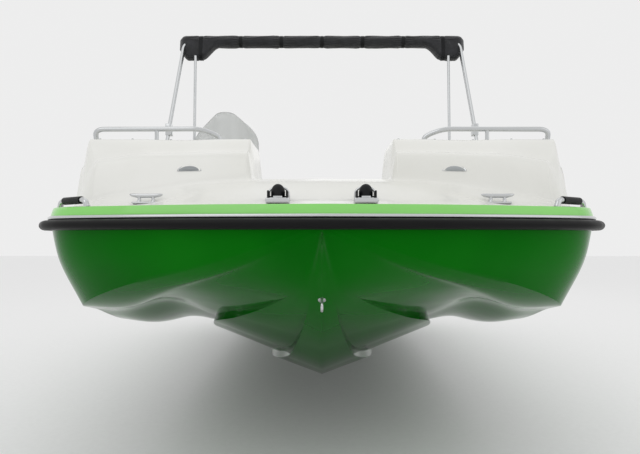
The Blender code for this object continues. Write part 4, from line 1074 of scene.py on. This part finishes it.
# ---- upholstery ---------------------------------------------------------------------------------
CUSHIONS = (
    ("bow_cushion_port", "boat", 2, 3),
    ("bow_cushion_starboard", "boat", 2, 2),
    ("bow_backrest_port", "boat", 0, 3),
    ("bow_backrest_starboard", "boat", 0, 1),
    ("console_backrest", "boat", 1, 1),
    ("aft_cushion", "boat", 2, 3),
    ("aft_backrest", "boat", 1, 3),
    ("side_cushion", "boat", 2, 3),
    ("side_backrest", "boat", 0, 3),
    ("helm_seat_cushion", "helm_seat", 2, 1),
    ("helm_seat_back", "helm_seat", 1, 1))
FACES_BACK = ("bow_backrest_port", "side_backrest", "aft_backrest", "console_backrest", "helm_seat_back")
VOXEL = .011
CAP = .012
FRAMES = 20
MOST_FACES = 45000


def padded_box(name, node):
    """A voxel copy of the CAD cushion, a little smaller than it, ready to be blown up."""
    item = bpy.data.objects.new(name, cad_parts[node].data.copy())
    bpy.context.scene.collection.objects.link(item)
    weld(item.data, .00002)
    co = np.zeros(len(item.data.vertices) * 3)
    item.data.vertices.foreach_get("co", co)
    co = co.reshape(-1, 3)
    middle = (co.max(0) + co.min(0)) / 2
    size = co.max(0) - co.min(0)
    co = middle + (co - middle) * (1 - .010 / size)
    item.data.vertices.foreach_set("co", co.ravel())
    remesh = item.modifiers.new("voxels", "REMESH")
    remesh.mode = "VOXEL"
    remesh.voxel_size = VOXEL
    flatten(item)
    return item, middle, size


def swell(item):
    """Cloth under pressure without gravity; no point moves further than the cap."""
    before = np.zeros(len(item.data.vertices) * 3)
    item.data.vertices.foreach_get("co", before)
    cloth = item.modifiers.new("foam", "CLOTH")
    cloth.settings.use_pressure = True
    cloth.settings.uniform_pressure_force = 4
    cloth.settings.effector_weights.gravity = 0
    cloth.settings.quality = 4
    cloth.settings.tension_stiffness = 12
    cloth.settings.compression_stiffness = 12
    cloth.settings.bending_stiffness = 2
    cloth.point_cache.frame_end = FRAMES
    scene = bpy.context.scene
    for step in range(1, FRAMES + 1):
        scene.frame_set(step)
    graph = bpy.context.evaluated_depsgraph_get()
    after = np.zeros_like(before)
    item.evaluated_get(graph).data.vertices.foreach_get("co", after)
    item.modifiers.clear()
    scene.frame_set(1)
    move = (after - before).reshape(-1, 3)
    length = np.linalg.norm(move, axis=1, keepdims=True)
    move *= CAP * np.tanh(length / CAP) / np.maximum(length, 1e-9)
    item.data.vertices.foreach_set("co", (before.reshape(-1, 3) + move).ravel())


def press_channels(item, middle, size, facing, sign, parts, low, high):
    """Sewn channels: the crowned face sinks along evenly spaced lines, then points are kept in the box."""
    co = np.zeros(len(item.data.vertices) * 3)
    item.data.vertices.foreach_get("co", co)
    co = co.reshape(-1, 3)
    axes = [k for k in range(3) if k != facing]
    long = max(axes, key=lambda k: size[k])
    place = (co[:, long] - middle[long]) / size[long] + .5
    shown = smoothstep(sign * (co[:, facing] - middle[facing]) / size[facing] * 2)
    for k in range(1, parts * 3):
        at = k / (parts * 3)
        deep, wide = (.009, .006) if k % 3 == 0 else (.0045, .008)
        co[:, facing] -= sign * deep * shown * np.exp(-((place - at) * size[long] / wide) ** 2)
    co = np.clip(co, np.array(low) - .004, np.array(high) + .004)
    item.data.vertices.foreach_set("co", co.ravel())


def build_cushions():
    """Each cushion is swollen, channelled and piped in turn; a large one is left without its subdivision."""
    for node, body, facing, parts in CUSHIONS:
        item, middle, size = padded_box(node + "_upholstered", node)
        swell(item)
        low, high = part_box(node)
        sign = -1.0 if node in FACES_BACK else 1.0
        press_channels(item, middle, size, facing, sign, parts, low, high)
        paint(item, "vinyl")
        item.data.shade_smooth()
        if len(item.data.polygons) <= MOST_FACES:
            fine = item.modifiers.new("fine", "SUBSURF")
            fine.levels = 1
            fine.render_levels = 1
        if node != "helm_seat_back":
            piping(node, low, high, facing, sign, body)
        ride(item, body, "seat_vinyl", node)


def piping(node, low, high, facing, sign, body):
    """A welt cord round the edge of the crowned face."""
    axes = [k for k in range(3) if k != facing]
    level = high[facing] - .010 if sign > 0 else low[facing] + .010
    a, b = axes
    inset = .006
    corners = [(low[a] + inset, low[b] + inset), (high[a] - inset, low[b] + inset),
               (high[a] - inset, high[b] - inset),
               (low[a] + inset, high[b] - inset)]
    t = np.linspace(0, pi / 2, 7)
    r = .03
    loop = []
    for k, (p, q) in enumerate(corners):
        cx = p + (r if k in (0, 3) else -r)
        cy = q + (r if k in (0, 1) else -r)
        start_at = pi + k * pi / 2
        loop.append(np.stack([cx + r * np.cos(start_at + t), cy + r * np.sin(start_at + t)], axis=1))
    flat = np.concatenate(loop)
    path = np.zeros((len(flat), 3))
    path[:, a], path[:, b], path[:, facing] = flat[:, 0], flat[:, 1], level
    along = unit(np.roll(path, -1, axis=0) - np.roll(path, 1, axis=0))
    normal = np.zeros(3)
    normal[facing] = 1
    side = np.cross(along, normal)
    turn = np.linspace(0, 2 * pi, 10, endpoint=False)
    across = np.cos(turn)[None, :, None] * side[:, None]
    rings = path[:, None] + .0042 * (across + np.sin(turn)[None, :, None] * normal)
    cord = sweep(node + "_piping", rings, "piping", True)
    ride(cord, body, "seat_vinyl")


# ---- canopy -------------------------------------------------------------------------------------
HINGE = np.array((0.0, BOW_Y + 1.70, COAMING_Z + .035))
CANOPY_TOP = np.array((0.0, BOW_Y + 2.51, 2.17))
REACH = float(np.linalg.norm(CANOPY_TOP - HINGE))
UP = (CANOPY_TOP - HINGE) / REACH
ASIDE = np.array((0.0, -UP[2], UP[1]))
CANOPY_X = 1.075
BRACE_X = CANOPY_X - .06
BRACE_FOOT_Y = BOW_Y + 2.35
WIDE = 1.125


def on_bow(x, along, off=0.0):
    """A point in the canopy's own plane: across, up along the bows, and square to them."""
    return np.array((x, 0.0, 0.0)) + HINGE + UP * along + ASIDE * off


def build_bows():
    """Both canopy bows, their jaws and braces, in the canopy's own plane."""
    main = rounded_route([on_bow(CANOPY_X, -.008), on_bow(WIDE, REACH), on_bow(-WIDE, REACH),
                          on_bow(-CANOPY_X, -.008)], .12, 16)
    bow = tube("bow", main, .0125, "steel", 24)
    ends = [tube("end_fitting", np.array([on_bow(s * CANOPY_X, -.008),
                                          on_bow(s * (CANOPY_X + .0013), .05)]), .0150, "nylon", 24)
            for s in (1, -1)]
    ride(join("bimini_main_bow_tube", [bow] + ends), "canopy", "stainless", "bimini_main_bow")
    off = .032
    low = .30
    route = rounded_route([on_bow(CANOPY_X + .006, low, off * .9), on_bow(WIDE - .004, REACH - .012, off),
                           on_bow(.004 - WIDE, REACH - .012, off),
                           on_bow(-CANOPY_X - .006, low, off * .9)], .12, 16)
    ride(tube("bimini_second_bow_tube", route, .01125, "steel", 24), "canopy", "stainless",
         "bimini_second_bow")
    for side, word in ((1, "port"), (-1, "starboard")):
        lower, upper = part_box("bimini_jaw_" + word)
        jaw = rounded_box("jaw", lower, upper, .006, "steel", 5)
        c = (lower + upper) / 2
        bolt = turned("bolt", (c.x + side * .0195, c.y, c.z), (side, 0, 0),
                      [(0, 0), (.007, 0), (.007, .004), (0, .0045)], "steel", 6)
        ride(join("jaw_slide_" + word, [jaw, bolt]), "canopy", "stainless", "bimini_jaw_" + word)
        foot = np.array((side * BRACE_X, BRACE_FOOT_Y, HINGE[2]))
        head = on_bow(side * BRACE_X, REACH * .87)
        way = unit(head - foot)
        rod = tube("brace_tube", np.array([foot - way * .012, head]), .01125, "steel", 24)
        cap = tube("brace_cap", np.array([foot - way * .012, foot + way * .045]), .0138, "nylon", 24)
        ride(join("canopy_brace_" + word, [rod, cap]), "brace_" + word, "stainless",
             "bimini_brace_" + word)
        refined("canopy_hinge_" + word, "hinge_plate_" + word, "boat", "steel", "stainless", .0012, 2)


def roll_shape(x):
    """The rolled boot's radius and droop at a distance across: it sags outboard of the braces."""
    wide = np.abs(x)
    droop = .11 * smoothstep((wide - .84) / .14) * (1 - .45 * smoothstep((wide - 1.08) / .075))
    radius = .048 * (1 - .25 * smoothstep((wide - 1.10) / .055))
    return radius, droop


def build_boot():
    """The rolled canopy in its canvas boot.

    A tube along x whose radius is modulated by seeded sums of cosines, so that long diagonal folds run round
    it between the straps; the lower half hangs by the droop, and the ends are gathered and closed.
    """
    columns = 120
    x = np.linspace(-1.155, 1.155, 420)
    a = np.linspace(0, 2 * pi, columns, endpoint=False)
    radius, droop = roll_shape(x)
    centre = np.array([on_bow(v, REACH - .012, .016) for v in x])
    rng = np.random.default_rng(7)
    folds = np.zeros((len(x), columns))
    for _ in range(26):
        along = rng.uniform(5, 26)
        about = rng.integers(1, 5)
        lean = rng.uniform(0, 6.3)
        size = rng.uniform(.2, 1)
        folds += size / 9 * (1 - np.abs(np.sin(.5 * (along * x[:, None] + about * a[None] + lean)))) ** 3
    folds -= folds.mean()
    straps = np.array([-.98, -.66, -.33, 0, .33, .66, .98])
    pinch = np.exp(-((x[:, None] - straps[None]) / .022) ** 2).max(axis=1)
    gather = np.exp(-((x[:, None] - straps[None]) / .07) ** 2).max(axis=1)
    pleats = .0022 * gather[:, None] * np.cos(17 * a[None] + 4 * np.sin(x[:, None] * 9))
    pinch = pinch[:, None]
    r = radius[:, None] * (1 - .13 * pinch) + .011 * folds * (1 - .8 * pinch) + pleats * (1 - pinch)
    closing = np.sqrt(np.clip((1.160 - np.abs(x)) / .03, .02, 1))
    r = np.minimum(r, radius[:, None] + .006) * closing[:, None]
    below = smoothstep((-np.sin(a) + .05) / .5)[None] * droop[:, None]
    y = centre[:, 1][:, None] + r * 1.1 * np.cos(a) - below * .2
    z = centre[:, 2][:, None] + r * np.sin(a) - below
    rings = np.stack([np.broadcast_to(x[:, None], y.shape), y, z], axis=2)
    boot = sweep("canvas_boot", rings, "canvas", False, 70)
    bands = []
    for at in straps:
        rad, fall = roll_shape(np.array([at]))
        base = on_bow(at, REACH - .012, .016)
        section = []
        for dx, lift in ((-.0125, .0004), (-.0125, .0022), (.0125, .0022), (.0125, .0004)):
            rr = rad[0] * .89 + .002 + lift
            drop = smoothstep((-np.sin(a[::2]) + .05) / .5) * fall[0]
            section.append(np.stack([np.full(60, at + dx),
                                     base[1] + rr * 1.1 * np.cos(a[::2]) - drop * .2,
                                     base[2] + rr * np.sin(a[::2]) - drop], axis=1))
        band = sweep("strap", np.array(section).transpose(1, 0, 2), "nylon", True, 30)
        bands.append(band)
    ride(boot, "canopy", "canvas", "bimini_canvas")
    ride(join("boot_straps", bands), "canopy", "canvas")


# ---- stern --------------------------------------------------------------------------------------
def build_stern():
    """Swim platforms with a raised tread patch, a ladder of two rails and three sleeved rungs, and cleats."""
    for word in SIDES:
        refined("swim_platform_" + word, "platform_moulding_" + word, "boat", "white", "white_gelcoat",
                .006, 3)
        low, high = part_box("swim_platform_" + word)
        z = .3605
        pad = rounded_box("platform_tread_" + word, (low.x + .06, TRANSOM_Y + .05, z - .003),
                          (high.x - .06, TRANSOM_Y + .34, z + .0018), .0022, "tread", 4)
        ride(pad, "boat", "white_gelcoat")
    z = .382
    edge = TRANSOM_Y + .422
    x0, x1 = .62, .92
    rails = rounded_route([(x0, edge, z), (x0, edge - .36, z), (x1, edge - .36, z), (x1, edge, z)], .05,
                          12)
    parts = [tube("rails", rails, .0125, "steel", 22)]
    for k in range(3):
        y = edge - .10 - .105 * k
        parts.append(tube("rung", np.array([(x0 + .004, y, z), (x1 - .004, y, z)]), .0105, "steel", 18))
        parts.append(tube("sleeve", np.array([(x0 + .03, y, z), (x1 - .03, y, z)]), .0135, "nylon", 18))
    parts.append(tube("axle", np.array([(x0 - .016, edge - .003, z), (x1 + .016, edge - .003, z)]),
                      .0095, "steel", 18))
    ride(join("folding_ladder", parts), "ladder", "stainless", "boarding_ladder")
    for word in SIDES:
        cleat("stern_cleat_" + word)


# ---- outboard -----------------------------------------------------------------------------------
STEER_Y = TRANSOM_Y + .16
PROP_Z = -.47


def lofted(name, rows, material, count=64, power=.8, steps=5):
    """Superellipse rings at given heights, with smooth rows between them."""
    dense = smooth_line(np.array(rows), (len(rows) - 1) * steps + 1)
    rings = [superoval(STEER_Y, half, front, back, z, power, count) for z, front, back, half in dense]
    return sweep(name, np.array(rings), material, False, 40)


def build_outboard():
    """Brackets and castings with rounded edges, and a cowling lofted from superellipses."""
    refined("outboard_clamp", "clamp_bracket", "boat", "enamel", "motor_paint", .002, 2)
    refined("outboard_swivel", "swivel_bracket", "motor_bracket", "enamel", "motor_paint", .002, 2)
    refined("outboard_midsection", "midsection_casting", "motor", "enamel", "motor_paint", .003, 2)
    refined("lower_unit", "gearcase_casting", "motor", "enamel", "motor_paint", .002, 2)
    refined("powerhead", "engine_block", "motor", "block", "cast_metal", .006, 2)
    cowl = lofted("cowling_shell", [(.4055, .10, .44, .15), (.46, .13, .47, .175), (.62, .14, .47, .18),
                                    (.78, .13, .44, .17),
                                    (.88, .08, .38, .14), (.914, .0, .28, .09)], "enamel")
    band = lofted("cowling_seam", [(.452, .1305, .4705, .1755), (.460, .134, .474, .179),
                                   (.468, .1315, .4715, .1765)], "nylon", 64, .8, 3)
    vents = [rounded_box("vent", (-.07, STEER_Y + .425 - .010 * k, .66 + .028 * k),
                         (.07, STEER_Y + .462 - .010 * k, .672 + .028 * k),
                         .004, "nylon", 4) for k in range(4)]
    ride(join("cowling_finished", [cowl, band] + vents), "motor", "motor_paint", "outboard_cowling")
    build_propeller()


def build_propeller():
    """A hub and three pitched blades, each a thin lens-shaped section that turns and narrows outwards."""
    hub_y = STEER_Y + .207
    hub = turned("hub", (0, hub_y, PROP_Z), (0, 1, 0),
                 [(0, .0005), (.045, .0005), (.046, .004), (.0445, .05), (.042, .096), (.036, .1),
                                                      (.020, .1), (0, .1)], "steel", 48)
    rows = smooth_line(np.array([(.038, .055, 60), (.09, .11, 48), (.14, .12, 38), (.160, .075, 35),
                                 (.1675, .012, 34)]), 26)
    u = np.concatenate([np.linspace(-1, 1, 15), np.linspace(1, -1, 15)[1:-1]])
    sign = np.concatenate([np.ones(15), -np.ones(13)])
    blades = []
    for k in range(3):
        turn = 2 * pi * k / 3
        sections = []
        for radius, chord, pitch in rows:
            p = radians(pitch)
            thick = .0042 * (1 - .6 * radius / .17) * np.sqrt(np.maximum(1 - u ** 2, 0)) * sign
            lx = u * chord / 2
            x = lx * cos(p) - thick * sin(p)
            y = lx * sin(p) + thick * cos(p)
            sections.append(np.stack([x * cos(turn) + radius * sin(turn), hub_y + .05 + y * .9,
                                      PROP_Z - x * sin(turn) + radius * cos(turn)], axis=1))
        blades.append(sweep("blade", np.array(sections), "steel", False, 60))
    ride(join("propeller_finished", [hub] + blades), "prop", "propeller_steel", "propeller")


# ---- add-on -------------------------------------------------------------------------------------
class BoatLook(bpy.types.PropertyGroup):
    """Colours, lens and light of the boat and its stage."""
    hull_colour: bpy.props.FloatVectorProperty(
        name="Hull colour", description="sRGB colour of the hull's gel coat", subtype="COLOR_GAMMA",
        default=(.0, .36, .02), min=0, max=1)
    band_colour: bpy.props.FloatVectorProperty(
        name="Band colour", description="sRGB colour of the band over the rub rail", subtype="COLOR_GAMMA",
        default=(.55, .86, .44), min=0, max=1)
    sky: bpy.props.FloatProperty(name="Sky", description="Strength of the even white surround",
                                 default=.85)
    key: bpy.props.FloatProperty(name="Key light", description="Power of the largest soft light",
                                 default=40, subtype="POWER")
    lens: bpy.props.FloatProperty(name="Lens", description="Focal length in millimetres", default=31.9)
    shift_x: bpy.props.FloatProperty(name="Shift across",
                                     description="Camera shift, part of the frame's width", default=-.003)
    shift_y: bpy.props.FloatProperty(name="Shift up",
                                     description="Camera shift, part of the frame's width", default=.0148)
    eye_x: bpy.props.FloatProperty(name="Eye across",
                                   description="Camera's distance to port of the centre line",
                                   default=0, subtype="DISTANCE", unit="LENGTH")
    distance: bpy.props.FloatProperty(name="Eye distance",
                                      description="Camera's distance ahead of the stem",
                                      default=2.15, subtype="DISTANCE", unit="LENGTH")
    eye_rise: bpy.props.FloatProperty(name="Eye height", description="Camera's height over the sheer",
                                      default=-.07, subtype="DISTANCE", unit="LENGTH")


class BOAT_OT_materials(bpy.types.Operator):
    """Make every material, in metres on Object coordinates"""
    bl_idname = "boat.materials"
    bl_label = "Make materials"

    def execute(self, context):
        make_materials(context.scene.boat_look)
        return {"FINISHED"}


class BOAT_OT_hull(bpy.types.Operator):
    """Build the hull moulding and its rub rail"""
    bl_idname = "boat.hull"
    bl_label = "Build hull"

    def execute(self, context):
        build_hull()
        build_rub_rail()
        return {"FINISHED"}


class BOAT_OT_deck(bpy.types.Operator):
    """Build the deck moulding with its coaming"""
    bl_idname = "boat.deck"
    bl_label = "Build deck"

    def execute(self, context):
        build_deck()
        return {"FINISHED"}


class BOAT_OT_fittings(bpy.types.Operator):
    """Build the bow lights, lamps, bow eye, rails, cleats and snap studs"""
    bl_idname = "boat.fittings"
    bl_label = "Build fittings"

    def execute(self, context):
        build_bow_lights()
        build_lamps_and_cleats()
        build_bow_eye()
        build_rails()
        build_snaps()
        return {"FINISHED"}


class BOAT_OT_cockpit(bpy.types.Operator):
    """Build the liner and its locker lids"""
    bl_idname = "boat.cockpit"
    bl_label = "Build cockpit"

    def execute(self, context):
        build_cockpit()
        return {"FINISHED"}


class BOAT_OT_helm(bpy.types.Operator):
    """Build the console, windscreen, wheel and helm seat"""
    bl_idname = "boat.helm"
    bl_label = "Build helm"

    def execute(self, context):
        build_helm()
        return {"FINISHED"}


class BOAT_OT_cushions(bpy.types.Operator):
    """Build the padded seats and backrests by cloth pressure"""
    bl_idname = "boat.cushions"
    bl_label = "Build cushions"

    def execute(self, context):
        build_cushions()
        return {"FINISHED"}


class BOAT_OT_canopy(bpy.types.Operator):
    """Build the canopy's bows, braces and rolled canvas boot"""
    bl_idname = "boat.canopy"
    bl_label = "Build canopy"

    def execute(self, context):
        build_bows()
        build_boot()
        return {"FINISHED"}


class BOAT_OT_stern(bpy.types.Operator):
    """Build the swim platforms, ladder and stern cleats"""
    bl_idname = "boat.stern"
    bl_label = "Build stern"

    def execute(self, context):
        build_stern()
        return {"FINISHED"}


class BOAT_OT_outboard(bpy.types.Operator):
    """Build the outboard motor and its propeller"""
    bl_idname = "boat.outboard"
    bl_label = "Build outboard"

    def execute(self, context):
        build_outboard()
        return {"FINISHED"}


class BOAT_OT_stage(bpy.types.Operator):
    """Build the floor, soft lights and camera"""
    bl_idname = "boat.stage"
    bl_label = "Build stage"

    def execute(self, context):
        build_stage(context.scene.boat_look)
        return {"FINISHED"}


OPERATORS = (BOAT_OT_materials, BOAT_OT_hull, BOAT_OT_deck, BOAT_OT_fittings,
             BOAT_OT_cockpit, BOAT_OT_helm, BOAT_OT_cushions, BOAT_OT_canopy,
             BOAT_OT_stern, BOAT_OT_outboard, BOAT_OT_stage)


class BOAT_PT_build(bpy.types.Panel):
    """Lists the build steps in order."""
    bl_label = "Boat"
    bl_idname = "BOAT_PT_build"
    bl_space_type = "VIEW_3D"
    bl_region_type = "UI"
    bl_category = "Boat"

    def draw(self, context):
        for item in OPERATORS:
            self.layout.operator(item.bl_idname)
        for name in BoatLook.__annotations__:
            self.layout.prop(context.scene.boat_look, name)


def register():
    """Registers the values, the operators and the panel, in that order."""
    bpy.utils.register_class(BoatLook)
    for item in OPERATORS:
        bpy.utils.register_class(item)
    bpy.utils.register_class(BOAT_PT_build)
    bpy.types.Scene.boat_look = bpy.props.PointerProperty(type=BoatLook)


def unregister():
    """Takes back what register does, in the opposite order."""
    del bpy.types.Scene.boat_look
    bpy.utils.unregister_class(BOAT_PT_build)
    for item in reversed(OPERATORS):
        bpy.utils.unregister_class(item)
    bpy.utils.unregister_class(BoatLook)


def main():
    """Runs every operator in order."""
    register()
    for item in OPERATORS:
        getattr(bpy.ops.boat, item.bl_idname.split(".")[1])()
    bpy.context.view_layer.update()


if __name__ == "__main__":
    main()
